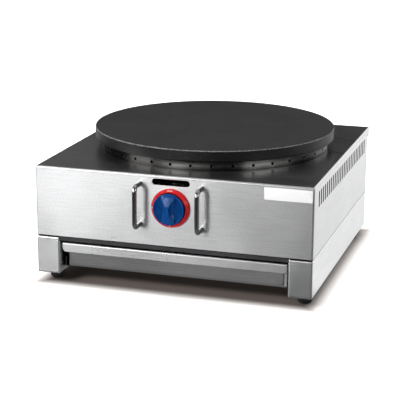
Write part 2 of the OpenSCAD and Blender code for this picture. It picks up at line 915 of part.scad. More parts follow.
module tap_body() {
    color([0.8, 0.65, 0.33])
        at_tap()
            difference() {
                union() {
                    translate([0, 0, -sheet - over]) cylinder(d = neck_d, h = neck_front + sheet + over);
                    translate([0, 0, -sheet - shoulder]) cylinder(d = tap_d + 3, h = shoulder);
                    translate([0, 0, tap_back]) cylinder(d = tap_d, h = -sheet - shoulder / 2 - tap_back);
                    translate([0, 0, port_z])
                        rotate([0, 90, 0]) cylinder(d = pipe_d + 5, h = boss_x);
                    translate([-tap_d / 2 - 5, 0, port_z])
                        rotate([0, 90, 0]) cylinder(d = tube_d + 6, h = tap_d / 2);
                    translate([0, 0, port_z])
                        rotate([90, 0, 0]) cylinder(d = magnet_d + 4, h = magnet_drop);
                }
                translate([0, 0, -sheet - shoulder - over])
                    cylinder(d = stem_d + 2 * tap_fit, h = neck_front + sheet + shoulder + 2 * over);
                translate([0, 0, plug_front])
                    cylinder(d = chamber_d, h = chamber_len);
                translate([0, 0, plug_back - plug_play])
                    cylinder(d = plug_d + 2 * tap_fit, h = plug_len + plug_play);
                translate([0, 0, tap_back - over]) cylinder(d = gas_bore, h = plug_back - tap_back + over);
                translate([0, 0, tap_back - over])
                    cylinder(d = injector_d, h = injector_socket + over);
                translate([0, 0, port_z])
                    rotate([0, 90, 0]) cylinder(d = gas_bore, h = boss_x + over);
                translate([boss_x - socket_len, 0, port_z])
                    rotate([0, 90, 0]) cylinder(d = pipe_d + 2 * tap_fit, h = socket_len + over);
                translate([-tap_d / 2 - 5 - over, 0, port_z])
                    rotate([0, 90, 0]) cylinder(d = tube_d + 2 * tap_fit, h = 5 + over);
                translate([0, -magnet_drop + 3, port_z])
                    rotate([90, 0, 0]) cylinder(d = gas_bore, h = 3 + over);
            }
}

module tap_nut() {
    color([0.75, 0.75, 0.77])
        at_tap()
            translate([0, 0, dial_floor]) hex_nut(nut_af, nut_h, neck_d + 2 * tap_fit);
}

// Stem section with one flat, grown by a clearance
module stem_section(gap) {
    difference() {
        circle(d = stem_d + 2 * gap);
        translate([-stem_d, stem_d / 2 - stem_flat + gap]) square([2 * stem_d, stem_d]);
    }
}

module tap_plug() {
    color([0.78, 0.6, 0.28])
        at_tap()
            difference() {
                translate([0, 0, plug_back]) cylinder(d = plug_d, h = plug_len);
                translate([0, 0, plug_front - stem_tail - knob_push - 0.5])
                    linear_extrude(stem_tail + knob_push + 0.5 + over) stem_section(tap_fit);
                translate([0, 0, port_z])
                    rotate([90, 0, 0]) cylinder(d = gas_bore * 0.6, h = plug_d);
                translate([0, 0, plug_back - over])
                    cylinder(d = gas_bore * 0.6, h = port_z - plug_back + over);
            }
}

module tap_stem() {
    color([0.7, 0.71, 0.72])
        at_tap() {
            translate([0, 0, neck_front])
                linear_extrude(stem_front - neck_front) stem_section(0);
            translate([0, 0, plug_front + stem_flat_run])
                cylinder(d = stem_d, h = neck_front - plug_front - stem_flat_run);
            translate([0, 0, spring_front]) cylinder(d = collar_d, h = 1.8);
            translate([0, 0, plug_front - stem_tail])
                linear_extrude(stem_tail + stem_flat_run) stem_section(0);
        }
}

// Coil spring along z from 0 to h, one unbroken wire of flat-sided section
spring_sides = 6;
spring_steps = 12;
function coil_point(i, n, r, h) =
    let (a = 360 * spring_turns * i / n)
    [r * cos(a), r * sin(a), h * i / n];
function coil_ring(i, n, r, h, w) =
    let (a = 360 * spring_turns * i / n, c = coil_point(i, n, r, h))
    [for (k = [0 : spring_sides - 1])
        let (b = 360 * k / spring_sides)
        [c[0] + w / 2 * cos(b) * cos(a), c[1] + w / 2 * cos(b) * sin(a), c[2] + w / 2 * sin(b)]];

module coil(r, h, w) {
    n = spring_turns * spring_steps;
    m = spring_sides;
    points = [for (i = [0 : n]) each coil_ring(i, n, r, h, w)];
    walls = [for (i = [0 : n - 1], k = [0 : m - 1])
        let (a = i * m + k, b = i * m + (k + 1) % m)
        each [[a, b, b + m], [a, b + m, a + m]]];
    start = [for (k = [1 : m - 2]) [0, k + 1, k]];
    end = [for (k = [1 : m - 2]) [n * m, n * m + k, n * m + k + 1]];
    polyhedron(points, concat(walls, start, end));
}

module stem_spring() {
    length = spring_front - plug_front - spring_wire - 0.3;
    color([0.6, 0.6, 0.62])
        at_tap()
            translate([0, 0, plug_front + spring_wire / 2 + 0.15])
                coil(spring_d / 2, length, spring_wire);
}

// Dial ring: outer edge with fine grooves, sloped front, floor under the tap nut
module dial_ring() {
    r = dial_d / 2;
    bore = knob_d / 2 + knob_gap;
    groove = dial_d * 3.14159 / dial_grooves * 0.5;
    color([0.78, 0.1, 0.09])
        at_tap()
            difference() {
                rotate_extrude()
                    polygon([[neck_d / 2 + screw_gap / 2, 0], [r, 0], [r, dial_edge_h],
                             [r - 0.6, dial_edge_h + 0.6], [bore + 0.8, dial_h], [bore + 0.3, dial_h],
                             [bore, dial_h - 0.3], [bore, dial_floor],
                             [neck_d / 2 + screw_gap / 2, dial_floor]]);
                for (i = [0 : dial_grooves - 1])
                    rotate(i * 360 / dial_grooves)
                        translate([r + groove * 0.3, 0, 1])
                            cylinder(d = groove, h = dial_edge_h + 1, $fn = 16);
            }
}

// Grip: a bar with a domed back, waisted by a round hollowed scoop on each side
module grip() {
    r = knob_d / 2 - 1.5;
    rise = knob_grip_h - knob_rim_h - 0.6;
    crown = (r * r + rise * rise) / 2 / rise;
    difference() {
        intersection() {
            translate([0, 0, knob_floor]) cylinder(r = r, h = knob_grip_h);
            translate([-grip_end / 2, -knob_d / 2, 0]) cube([grip_end, knob_d, knob_grip_h + over]);
            translate([0, 0, knob_grip_h - crown]) sphere(r = crown, $fn = 180);
        }
        for (s = [-1, 1]) translate([s * (grip_waist / 2 + scoop_r), 0, 0]) scoop();
    }
}

// Cutter of a scoop: flat floor, hollow wall that reaches scoop_r at the grip's back
module scoop() {
    low = knob_rim_h - face_dip - 0.1;
    above = scoop_hollow - (knob_grip_h - low);
    flat = scoop_r - sqrt(scoop_hollow * scoop_hollow - above * above);
    rotate_extrude($fn = 180) {
        translate([0, low]) square([flat, 2 * scoop_hollow]);
        translate([flat, low + scoop_hollow]) circle(scoop_hollow, $fn = 90);
    }
}

module control_knob() {
    r = knob_d / 2;
    color([0.0, 0.22, 0.5])
        at_tap()
            difference() {
                union() {
                    rotate_extrude()
                        polygon([[0, knob_back], [r, knob_back], [r, knob_rim_h - 0.8],
                                 [r - 0.8, knob_rim_h], [r - 2, knob_rim_h],
                                 [r - 3.2, knob_rim_h - face_dip], [0, knob_rim_h - face_dip]]);
                    grip();
                }
                translate([0, 0, knob_back - over])
                    cylinder(r = r - knob_wall, h = knob_floor - knob_back + over);
                translate([0, 0, knob_back - over])
                    linear_extrude(stem_front - knob_back + over + 0.2) stem_section(tap_fit);
            }
}

module magnet_unit() {
    color([0.72, 0.72, 0.74])
        at_tap()
            translate([0, -magnet_drop, port_z])
                rotate([90, 0, 0]) {
                    cylinder(d = magnet_d, h = magnet_len);
                    translate([0, 0, magnet_len]) cylinder(d = magnet_d * 0.7, h = magnet_hex_h, $fn = 6);
                }
}

// Route of the supply pipe, from the inlet at the rear to the side of the tap
pipe_y = front_y - port_z;
pipe_route = [
    [inlet_x, rear_y - sheet - fitting_in + socket_len, tap_z],
    [inlet_x, pipe_y, tap_z],
    [boss_x - socket_len, pipe_y, tap_z]
];

module supply_pipe() {
    color([0.72, 0.45, 0.28])
        bent_tube(pipe_route, pipe_d, pipe_bend);
}

module inlet_fitting() {
    color([0.8, 0.67, 0.36])
        translate([inlet_x, rear_y, tap_z])
            rotate([-90, 0, 0])
                difference() {
                    union() {
                        translate([0, 0, -sheet - fitting_in])
                            cylinder(d = inlet_d, h = sheet + fitting_in + inlet_reach - 1);
                        translate([0, 0, inlet_reach - 1]) cylinder(d1 = inlet_d, d2 = inlet_d - 2, h = 1);
                        cylinder(d = inlet_af / cos(30), h = hex_t, $fn = 6);
                    }
                    translate([0, 0, -sheet - fitting_in - over])
                        cylinder(d = inlet_d * 0.5, h = fitting_in + inlet_reach + sheet + 2 * over);
                    translate([0, 0, -sheet - fitting_in - over])
                        cylinder(d = pipe_d + 2 * tap_fit, h = socket_len + over);
                }
}

module inlet_locknut() {
    color([0.78, 0.78, 0.8])
        translate([inlet_x, rear_y - sheet, tap_z])
            rotate([90, 0, 0])
                hex_nut(inlet_af, 6, inlet_d + 2 * tap_fit);
}

// Strip with a foot on the deck and a shelf for pilot and thermocouple
module pilot_bracket() {
    width = probe_gap + 2 * bracket_margin;
    high = shelf_z - casing_z;
    t = bracket_t;
    f = shelf_len + bracket_t;
    color([0.82, 0.83, 0.84])
        difference() {
            translate([-pilot_x + probe_gap / 2 - width / 2, pilot_y, casing_z])
                rotate([90, 0, 90])
                    linear_extrude(width)
                        polygon([[0, 0], [f, 0], [f, high], [0, high], [0, high - t], [f - t, high - t],
                                 [f - t, t], [0, t]]);
            translate([-pilot_x, jet_y, shelf_z - t - over])
                cylinder(d = pilot_d + 2 * tap_fit, h = t + 2 * over);
            translate([-probe_x, jet_y, shelf_z - t - over])
                cylinder(d = probe_d + 2 * tap_fit, h = t + 2 * over);
            at_bracket_screw() screw_hole();
        }
}

module pilot_burner() {
    low = shelf_z - pilot_stem;
    high = shelf_z + 12;
    color([0.8, 0.66, 0.34])
        translate([-pilot_x, jet_y, 0])
            difference() {
                union() {
                    translate([0, 0, low]) cylinder(d = pilot_d, h = high - low);
                    translate([0, 0, shelf_z]) cylinder(d = pilot_d + 2, h = 2);
                }
                translate([0, 0, low - over]) cylinder(d = tube_d + 2 * tap_fit, h = 4 + over);
                translate([0, 0, low + 5]) cylinder(d = pilot_d * 0.6, h = high - low);
                translate([-pilot_d, -1.5, high - 6]) cube([2 * pilot_d, pilot_d, 3]);
            }
}

// Route of the pilot tube, from the side of the tap to the bottom of the pilot
tube_route = [
    [-tap_d / 2 - 1, pipe_y, tap_z],
    [-pilot_x, pipe_y, tap_z],
    [-pilot_x, jet_y, tap_z],
    [-pilot_x, jet_y, shelf_z - pilot_stem + 3]
];

module pilot_tube() {
    color([0.75, 0.48, 0.3])
        bent_tube(tube_route, tube_d, 6);
}

// Route of the thermocouple's lead, from its probe down, forward and across to the magnet unit
lead_route = [
    [-probe_x, jet_y, shelf_z - probe_tail],
    [-probe_x, jet_y, lead_z],
    [-probe_x, pipe_y, lead_z],
    [0, pipe_y, lead_z],
    [0, pipe_y, magnet_low]
];

module thermocouple() {
    color([0.76, 0.6, 0.42]) {
        translate([-probe_x, jet_y, shelf_z - probe_tail]) cylinder(d = probe_d, h = probe_tail + probe_tip);
        translate([-probe_x, jet_y, shelf_z]) cylinder(d = probe_d + 2, h = 2);
        translate([-probe_x, jet_y, shelf_z + probe_tip]) sphere(d = probe_d);
        bent_tube(lead_route, lead_d, 6);
    }
}

// Bow handle of round bar, tapped at both ends
module handle(s) {
    z = top_z - handle_drop;
    low = z - handle_span / 2;
    high = z + handle_span / 2;
    out = front_y - handle_reach;
    difference() {
        bent_tube([[s * handle_x, front_y, low], [s * handle_x, out, low],
                   [s * handle_x, out, high], [s * handle_x, front_y, high]], handle_d, handle_bend);
        at_handle_screws(s) screw_hole();
    }
}

module left_handle() {
    color([0.85, 0.86, 0.88]) handle(-1);
}

module right_handle() {
    color([0.85, 0.86, 0.88]) handle(1);
}

module handle_screws() {
    color([0.7, 0.7, 0.72])
        for (s = [-1, 1])
            at_handle_screws(s) screw();
}

module casing_screws() {
    color([0.7, 0.7, 0.72]) {
        at_side_screws() screw();
        at_front_screws() screw();
    }
}

module rear_panel_screws() {
    color([0.7, 0.7, 0.72])
        at_rear_screws() screw();
}

module deck_screws() {
    color([0.7, 0.7, 0.72]) {
        at_leg_screws() screw();
        at_stand_screws() screw();
        at_bracket_screw() screw();
    }
}

// Cast plate with a ring-shaped rib under it that sits inside the flame ring
module crepe_plate() {
    r = plate_d / 2;
    e = plate_edge_r;
    rib = ring_in_r - spigot_gap;
    color([0.16, 0.16, 0.17])
        translate([0, plate_y, plate_z])
            rotate_extrude($fn = 180) {
                translate([0, 0]) square([r - e, plate_t]);
                translate([0, e]) square([r, plate_t - 2 * e]);
                for (z = [e, plate_t - e])
                    translate([r - e, z]) circle(e, $fn = 48);
                translate([rib - spigot_w, -spigot_h]) square([spigot_w, spigot_h + e]);
            }
}

// Pan with a rim and a pull lip along its front
module drip_drawer() {
    lip_y = front_y + pull_setback;
    shelf = pan_setback - pull_setback + sheet;
    color([0.74, 0.75, 0.76])
        difference() {
            union() {
                translate([0, pan_y, pan_top])
                    mirror([0, 0, 1]) soft_box(pan_w, pan_len, pan_h, pan_r);
                translate([-pull_w / 2, pan_y, pan_top - sheet])
                    cube([pull_w, pan_len, sheet]);
                intersection() {
                    translate([-pull_w / 2, lip_y, pan_top])
                        rotate([90, 0, 90])
                            linear_extrude(pull_w) folded_edge(shelf, pull_h, bend_r, sheet);
                    translate([0, lip_y + shelf + over, pan_top - pull_h])
                        rotate([90, 0, 0])
                            linear_extrude(shelf + 2 * over) front_round(pull_w, pull_h + over, pan_r);
                }
            }
            translate([0, pan_y + sheet, pan_top + sheet])
                mirror([0, 0, 1])
                    soft_box(pan_w - 2 * sheet, pan_len - 2 * sheet, pan_h, pan_r - sheet);
        }
}

// Angle with its outer bend at the origin: one leg along +x, one leg down
module folded_edge(across, down, r, t) {
    difference() {
        bend_corner(across, down, r);
        translate([t, -t]) bend_corner(across, down, r - t);
    }
}

// Rectangle below and right of the origin with the corner at the origin rounded
module bend_corner(w, h, r) {
    translate([r, -h]) square([w - r, h]);
    translate([0, -h]) square([w, h - r]);
    translate([r, -r]) circle(r);
}

top_panel();
front_panel();
left_side_panel();
right_side_panel();
rear_panel();
base_deck();
left_plinth();
right_plinth();
base_rear_panel();
left_runner();
right_runner();
front_left_foot();
front_right_foot();
rear_left_foot();
rear_right_foot();
foot_screws();
foot_nuts();
flame_ring();
ring_legs();
star_burner();
burner_stand();
mixer_cap();
air_shutter();
injector();
tap_body();
tap_nut();
tap_plug();
tap_stem();
stem_spring();
control_knob();
dial_ring();
magnet_unit();
supply_pipe();
inlet_fitting();
inlet_locknut();
pilot_bracket();
pilot_burner();
pilot_tube();
thermocouple();
left_handle();
right_handle();
handle_screws();
casing_screws();
rear_panel_screws();
deck_screws();
crepe_plate();
drip_drawer();
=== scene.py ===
"""Looks of a countertop gas crepe maker: finishes, fine pieces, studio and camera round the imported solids."""

import json
import logging
import math
from dataclasses import dataclass, field
from enum import Enum
from typing import Callable, Iterable, Optional, Sequence, Union

import bmesh
import bpy
from mathutils import Matrix, Vector


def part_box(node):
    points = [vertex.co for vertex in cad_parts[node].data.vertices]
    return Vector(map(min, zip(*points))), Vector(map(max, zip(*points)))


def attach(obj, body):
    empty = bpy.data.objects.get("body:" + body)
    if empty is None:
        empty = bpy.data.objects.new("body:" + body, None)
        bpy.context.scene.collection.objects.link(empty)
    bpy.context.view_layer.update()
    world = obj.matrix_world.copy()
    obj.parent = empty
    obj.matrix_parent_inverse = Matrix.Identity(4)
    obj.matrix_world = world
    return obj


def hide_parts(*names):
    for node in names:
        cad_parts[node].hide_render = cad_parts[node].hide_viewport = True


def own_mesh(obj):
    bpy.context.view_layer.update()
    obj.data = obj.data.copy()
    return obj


LOG = logging.getLogger("crepe_maker")
MM = 0.001
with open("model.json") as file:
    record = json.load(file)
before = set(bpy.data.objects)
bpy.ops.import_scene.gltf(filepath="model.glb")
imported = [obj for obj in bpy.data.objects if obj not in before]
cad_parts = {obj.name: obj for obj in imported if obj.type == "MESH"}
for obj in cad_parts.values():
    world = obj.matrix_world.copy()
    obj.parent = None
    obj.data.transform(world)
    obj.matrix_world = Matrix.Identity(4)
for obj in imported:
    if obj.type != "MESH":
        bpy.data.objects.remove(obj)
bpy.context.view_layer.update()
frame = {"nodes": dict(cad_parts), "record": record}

# The range that most of a noise lies in, the colour sockets of a Mix node, and the way up.
NOISE_RANGE = (0.3, 0.7)
MIX_A, MIX_B, MIX_RESULT = 6, 7, 2
UP = (0.0, 0.0, 1.0)

# A band is the start and end of a range that is read, and the results there.
Colour = tuple[float, float, float]
Triple = tuple[float, float, float]
Pair = tuple[float, float]
Band = tuple[float, float, float, float]
Stops = tuple[Pair, ...]
Socket = bpy.types.NodeSocket
Value = Union[float, Socket]


class Slot(str, Enum):
    """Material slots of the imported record."""

    TOP_SHEET = "top_sheet"
    PANEL = "panel_steel"
    PLINTH = "plinth_steel"
    DRAWER = "drawer_steel"
    RING = "ring_steel"
    DECK = "deck_steel"
    BRACKET = "bracket_steel"
    FASTENER = "fastener_steel"
    HANDLE = "handle_chrome"
    PLATE = "cast_plate"
    BURNER = "burner_iron"
    BRASS = "tap_brass"
    COPPER = "pipe_copper"
    RUBBER = "foot_rubber"
    DIAL = "dial_red"
    KNOB = "knob_blue"


class Body(str, Enum):
    """Bodies that a new piece rides on."""

    CHASSIS = "chassis"
    PLUG = "plug"


class Grain(Enum):
    """Run of the lines in a pattern, as its stretch on X, Y and Z."""

    EVEN = (1.0, 1.0, 1.0)
    LEVEL = (0.02, 0.02, 1.0)
    ACROSS = (0.02, 1.0, 1.0)
    UPRIGHT = (1.0, 1.0, 0.02)
    SMEARED = (0.3, 1.0, 1.0)
    SCRATCHED = (1.0, 1.0, 0.06)


@dataclass(frozen=True)
class Pattern:
    """A cloudy noise: its clouds in a metre, its octaves and the run of its lines."""

    per_metre: float
    octaves: float
    grain: Grain = Grain.EVEN


def shaded(colour: Colour, factor: float) -> Colour:
    """Gives a colour made darker or paler by a factor, and at most white."""
    return tuple(min(1.0, part * factor) for part in colour)


def put(name: str, data: bpy.types.ID) -> bpy.types.Object:
    """Makes an object at the origin and links it to the scene.

    Args:
        name: Name of the object.
        data: Its mesh, curve, camera or light.

    Returns:
        The object.
    """
    made = bpy.data.objects.new(name, data)
    bpy.context.scene.collection.objects.link(made)
    return made


def mesh_of(name: str, bm: bmesh.types.BMesh, material: bpy.types.Material) -> bpy.types.Mesh:
    """Turns a bmesh into a mesh of one material, and frees it.

    Args:
        name: Name of the mesh.
        bm: What is turned into it.
        material: Its finish.

    Returns:
        The mesh.
    """
    mesh = bpy.data.meshes.new(name)
    bm.to_mesh(mesh)
    bm.free()
    mesh.materials.append(material)
    return mesh


class Bench:
    """Node tree of one finish, with short calls for the nodes that the finishes share."""

    edge_samples: int = 6

    def __init__(self, name: str) -> None:
        """Starts an empty finish.

        Args:
            name: Name of the material.
        """
        self.material = bpy.data.materials.new(name)
        self.material.use_nodes = True
        self.nodes = self.material.node_tree.nodes
        self.links = self.material.node_tree.links
        self.surface = self.nodes["Principled BSDF"]
        self.place = self.nodes.new("ShaderNodeTexCoord").outputs["Object"]

    def fix(self, **constants: float) -> None:
        """Sets constants on the shader's own sockets, with underscores for the spaces in their names."""
        for name, value in constants.items():
            self.surface.inputs[name.replace("_", " ")].default_value = value

    def wire(self, source: Socket, target: Union[str, Socket]) -> None:
        """Links a socket to a named socket of the shader, or to another node's socket."""
        self.links.new(source, self.surface.inputs[target] if isinstance(target, str) else target)

    def show(self, shader: Socket) -> None:
        """Puts a shader at the material's output."""
        self.links.new(shader, self.nodes["Material Output"].inputs["Surface"])

    def stretched(self, stretch: Triple, shift: Triple = (0.0, 0.0, 0.0)) -> Socket:
        """Gives object coordinates stretched on each axis.

        Args:
            stretch: Scale on X, Y and Z.
            shift: Offset in metres.

        Returns:
            The mapped coordinates.
        """
        node = self.nodes.new("ShaderNodeMapping")
        node.inputs["Scale"].default_value = stretch
        node.inputs["Location"].default_value = shift
        self.links.new(self.place, node.inputs["Vector"])
        return node.outputs["Vector"]

    def noise(self, pattern: Pattern) -> Socket:
        """Adds cloudy noise.

        Args:
            pattern: Its clouds, octaves and lines.

        Returns:
            The noise, about 0.5 on average.
        """
        node = self.nodes.new("ShaderNodeTexNoise")
        node.inputs["Scale"].default_value = pattern.per_metre
        node.inputs["Detail"].default_value = pattern.octaves
        self.links.new(self.stretched(pattern.grain.value), node.inputs["Vector"])
        return node.outputs[0]

    def cells(self, per_metre: float) -> bpy.types.Node:
        """Adds a cell pattern.

        Args:
            per_metre: Number of cells in a metre.

        Returns:
            The node of the pattern.
        """
        node = self.nodes.new("ShaderNodeTexVoronoi")
        node.inputs["Scale"].default_value = per_metre
        self.links.new(self.place, node.inputs["Vector"])
        return node

    def axis(self, index: int, vector: Optional[Socket] = None) -> Socket:
        """Gives one part of a vector.

        Args:
            index: 0 for X, 1 for Y and 2 for Z.
            vector: What is split: the object coordinates, unless it is given.

        Returns:
            The part.
        """
        node = self.nodes.new("ShaderNodeSeparateXYZ")
        self.links.new(vector or self.place, node.inputs[0])
        return node.outputs[index]

    def calc(self, kind: str, a: Value, b: Value = 0.0) -> Socket:
        """Adds one arithmetic step.

        Args:
            kind: Operation of the Math node.
            a: First value.
            b: Second value.

        Returns:
            The result.
        """
        node = self.nodes.new("ShaderNodeMath")
        node.operation = kind
        for socket, value in zip(node.inputs, (a, b)):
            if isinstance(value, Socket):
                self.links.new(value, socket)
            else:
                socket.default_value = value
        return node.outputs[0]

    def plus(self, a: Value, b: Value) -> Socket:
        """Adds two values."""
        return self.calc("ADD", a, b)

    def times(self, a: Value, b: Value) -> Socket:
        """Multiplies two values."""
        return self.calc("MULTIPLY", a, b)

    def most(self, a: Value, b: Value) -> Socket:
        """Gives the larger of two values."""
        return self.calc("MAXIMUM", a, b)

    def sideways(self) -> Socket:
        """Gives the distance from the middle plane, to either side."""
        return self.calc("ABSOLUTE", self.axis(0))

    def span(self, value: Socket, low: float, high: float,
             to_low: float = 0.0, to_high: float = 1.0) -> Socket:
        """Maps a range of a value to another range, and holds it there.

        Args:
            value: What is mapped.
            low: Start of the range that is read.
            high: End of the range that is read.
            to_low: Result at the start.
            to_high: Result at the end.

        Returns:
            The mapped value.
        """
        node = self.nodes.new("ShaderNodeMapRange")
        for name, number in (("From Min", low), ("From Max", high), ("To Min", to_low), ("To Max", to_high)):
            node.inputs[name].default_value = number
        self.links.new(value, node.inputs["Value"])
        return node.outputs["Result"]

    def sway(self, noise: Socket, to_low: float = 0.0, to_high: float = 1.0) -> Socket:
        """Maps the range that most of a noise lies in to another range."""
        return self.span(noise, *NOISE_RANGE, to_low, to_high)

    def blend(self, factor: Socket, a: Union[Colour, Socket], b: Union[Colour, Socket]) -> Socket:
        """Mixes two colours.

        Args:
            factor: 0 for the first colour and 1 for the second.
            a: First colour.
            b: Second colour.

        Returns:
            The mixed colour.
        """
        node = self.nodes.new("ShaderNodeMix")
        node.data_type = "RGBA"
        self.links.new(factor, node.inputs[0])
        for index, colour in ((MIX_A, a), (MIX_B, b)):
            if isinstance(colour, Socket):
                self.links.new(colour, node.inputs[index])
            else:
                node.inputs[index].default_value = (*colour, 1.0)
        return node.outputs[MIX_RESULT]

    def ramp(self, value: Socket, stops: Stops) -> Socket:
        """Reads a grey off a row of stops.

        Args:
            value: Where to read.
            stops: Value and grey of each stop, from low to high.

        Returns:
            The grey, straight between the stops.
        """
        low, high = stops[0][0], stops[-1][0]
        node = self.nodes.new("ShaderNodeValToRGB")
        elements = node.color_ramp.elements
        for place, _ in stops[1:-1]:
            elements.new((place - low) / (high - low))
        for element, (_, grey) in zip(elements, stops):
            element.color = (grey, grey, grey, 1.0)
        self.links.new(self.span(value, low, high), node.inputs[0])
        return node.outputs[0]

    def stretch_gloss(self, amount: Value) -> None:
        """Stretches the gloss up and down, as the level lines of a sheet do.

        Args:
            amount: 0 for round gloss and 1 for the longest.
        """
        upright = self.nodes.new("ShaderNodeVectorMath")
        upright.operation = "PROJECT"
        upright.inputs[1].default_value = UP
        lift = self.nodes.new("ShaderNodeVectorMath")
        lift.operation = "SUBTRACT"
        lift.inputs[0].default_value = UP
        self.links.new(self.nodes.new("ShaderNodeNewGeometry").outputs["Normal"], upright.inputs[0])
        self.links.new(upright.outputs[0], lift.inputs[1])
        self.wire(lift.outputs[0], "Tangent")
        if isinstance(amount, Socket):
            self.wire(amount, "Anisotropic")
        else:
            self.fix(Anisotropic=amount)

    def relief(self, height: Socket, depth: float, edge: float = 0.0) -> None:
        """Raises the finish by a pattern, over edges that are rounded where a radius is given.

        Args:
            height: The pattern.
            depth: Depth in metres.
            edge: Radius of the rounded edges, in metres.
        """
        node = self.nodes.new("ShaderNodeBump")
        node.inputs["Strength"].default_value = 1.0
        node.inputs["Distance"].default_value = depth
        self.links.new(height, node.inputs["Height"])
        if edge:
            rounded = self.nodes.new("ShaderNodeBevel")
            rounded.samples = self.edge_samples
            rounded.inputs["Radius"].default_value = edge
            self.links.new(rounded.outputs[0], node.inputs["Normal"])
        self.wire(node.outputs["Normal"], "Normal")


@dataclass(frozen=True)
class Finish:
    """A finish that makes its own material."""

    name: str

    def make(self) -> bpy.types.Material:
        """Makes the material of this finish.

        Returns:
            The material.
        """
        bench = Bench(self.name)
        self.lay(bench)
        return bench.material

    def lay(self, bench: Bench) -> None:
        """Lays the finish on a node tree; each kind of finish has its own."""
        raise NotImplementedError


@dataclass(frozen=True)
class SheetSteel(Finish):
    """Satin stainless sheet: fine grain, specks, faint clouding, slow waves and soft folded edges."""

    colour: Colour = (0.78, 0.785, 0.79)
    rough: float = 0.29
    edge: float = 1.0 * MM
    stretch: float = 0.95
    contrast: float = 1.2
    darker: float = 0.13
    paler: float = 0.10
    # Colour of the painted shade that some sheets lay in vents, seams and corners.
    painted_shade_colour: Colour = (0.02, 0.019, 0.018)
    lines: Pattern = Pattern(1200.0, 1.0, Grain.LEVEL)
    line_tone: Pair = (0.0, 0.5)
    specks: Pattern = Pattern(340.0, 1.0)
    speck_tone: Pair = (0.0, 0.3)
    clouds: Pattern = Pattern(9.0, 3.0)
    cloud_tone: Pair = (-0.1, 0.2)
    dull_range: Pair = (0.35, 0.7)
    dull: Pair = (-0.02, 0.03)
    waves: Pattern = Pattern(13.0, 1.0)
    wave_depth: float = 0.12 * MM

    def length(self, bench: Bench) -> Value:
        """Gives how far the level lines stretch the gloss."""
        return self.stretch

    def painted_shade(self, bench: Bench) -> Optional[Socket]:
        """Gives where the sheet is painted dark as shade; a plain sheet has no such place."""
        return None

    def lay(self, bench: Bench) -> None:
        """Lays grain, specks, clouding, painted shade and waves.

        Args:
            bench: Node tree of the finish.
        """
        fine = bench.noise(self.lines)
        speck = bench.noise(self.specks)
        cloud = bench.noise(self.clouds)
        dark = shaded(self.colour, 1.0 - self.darker * self.contrast)
        pale = shaded(self.colour, 1.0 + self.paler * self.contrast)
        tone = bench.plus(bench.sway(fine, *self.line_tone), bench.sway(speck, *self.speck_tone))
        tone = bench.plus(tone, bench.sway(cloud, *self.cloud_tone))
        base = bench.blend(tone, dark, pale)
        # Painted shade: the mask darkens the base colour towards the shade colour.
        painted_shade = self.painted_shade(bench)
        bench.wire(base if painted_shade is None else bench.blend(painted_shade, base, self.painted_shade_colour), "Base Color")
        rough = bench.span(cloud, *self.dull_range, *(self.rough + step for step in self.dull))
        bench.wire(rough, "Roughness")
        bench.relief(bench.noise(self.waves), self.wave_depth, self.edge)
        bench.stretch_gloss(self.length(bench))
        bench.fix(Metallic=1.0)


@dataclass(frozen=True)
class CasingSteel(SheetSteel):
    """Casing sheet, with painted shade in and round its punched vents, along its bottom edge in the seam over
    the plinth, and down its front corners.
    """

    half: float = 0.225
    front: float = -0.2146
    bottom: float = 0.0792
    skin: float = 1.4 * MM
    first_vent: float = -0.180625
    last_vent: float = 0.186875
    row_end: float = 5.0 * MM
    vent_pitch: float = 14.7 * MM
    vent_half: float = 2.75 * MM
    vent_low: float = 0.1555
    vent_high: float = 0.1795
    rim: float = 1.3 * MM
    hem: float = 0.9 * MM
    corner: Pair = (1.3 * MM, 0.7 * MM)
    corner_dark: float = 0.6
    sharp: float = 0.1 * MM
    soft: float = 0.5 * MM

    def vents(self, bench: Bench) -> Socket:
        """Gives the painted shade of the vents of both sides, each with a narrow rim.

        Args:
            bench: Node tree of the finish.

        Returns:
            1 in the vents and 0 away from them.
        """
        skin = self.half - self.skin
        side = bench.span(bench.sideways(), skin, skin + self.sharp)
        along = bench.calc("SUBTRACT", bench.axis(1), self.first_vent - self.vent_pitch)
        off = bench.calc("PINGPONG", along, self.vent_pitch / 2)
        reach = self.vent_half + self.rim
        near = bench.span(off, reach, reach - self.soft)
        start, end = self.first_vent - self.row_end, self.last_vent + self.row_end
        row = bench.ramp(bench.axis(1), ((start, 0.0), (start + self.sharp, 1.0),
                                         (end - self.sharp, 1.0), (end, 0.0)))
        band = bench.ramp(bench.axis(2), ((self.vent_low - self.rim, 0.0), (self.vent_low, 1.0),
                                          (self.vent_high, 1.0), (self.vent_high + self.rim, 0.0)))
        return bench.times(bench.times(near, side), bench.times(row, band))

    def painted_shade(self, bench: Bench) -> Optional[Socket]:
        """Gives the painted shade of the vents, the bottom edge and the front corners.

        Args:
            bench: Node tree of the finish.

        Returns:
            How dark the painted shade is at each place.
        """
        vents = self.vents(bench)
        # Painted shade in the seam gap along the bottom edge.
        hem = self.bottom + self.hem
        foot = bench.span(bench.axis(2), hem + self.soft, hem)
        # Painted shade down the front corners, a dark line where the front meets the sides.
        face = self.front + self.skin
        nose = bench.span(bench.axis(1), face + 2 * self.sharp, face)
        inner, outer = (self.half - inset for inset in self.corner)
        corner = bench.times(nose, bench.span(bench.sideways(), inner, outer, 0.0, self.corner_dark))
        return bench.most(vents, bench.most(foot, corner))


@dataclass(frozen=True)
class PlinthSteel(SheetSteel):
    """Plinth sheet, with painted shade on the top that lies in the seam under the casing."""

    contrast: float = 1.0
    seam: float = 0.0777
    sharp: float = 0.1 * MM

    def painted_shade(self, bench: Bench) -> Optional[Socket]:
        """Gives the top of the plinth, where shade is painted."""
        return bench.span(bench.axis(2), self.seam, self.seam + self.sharp)


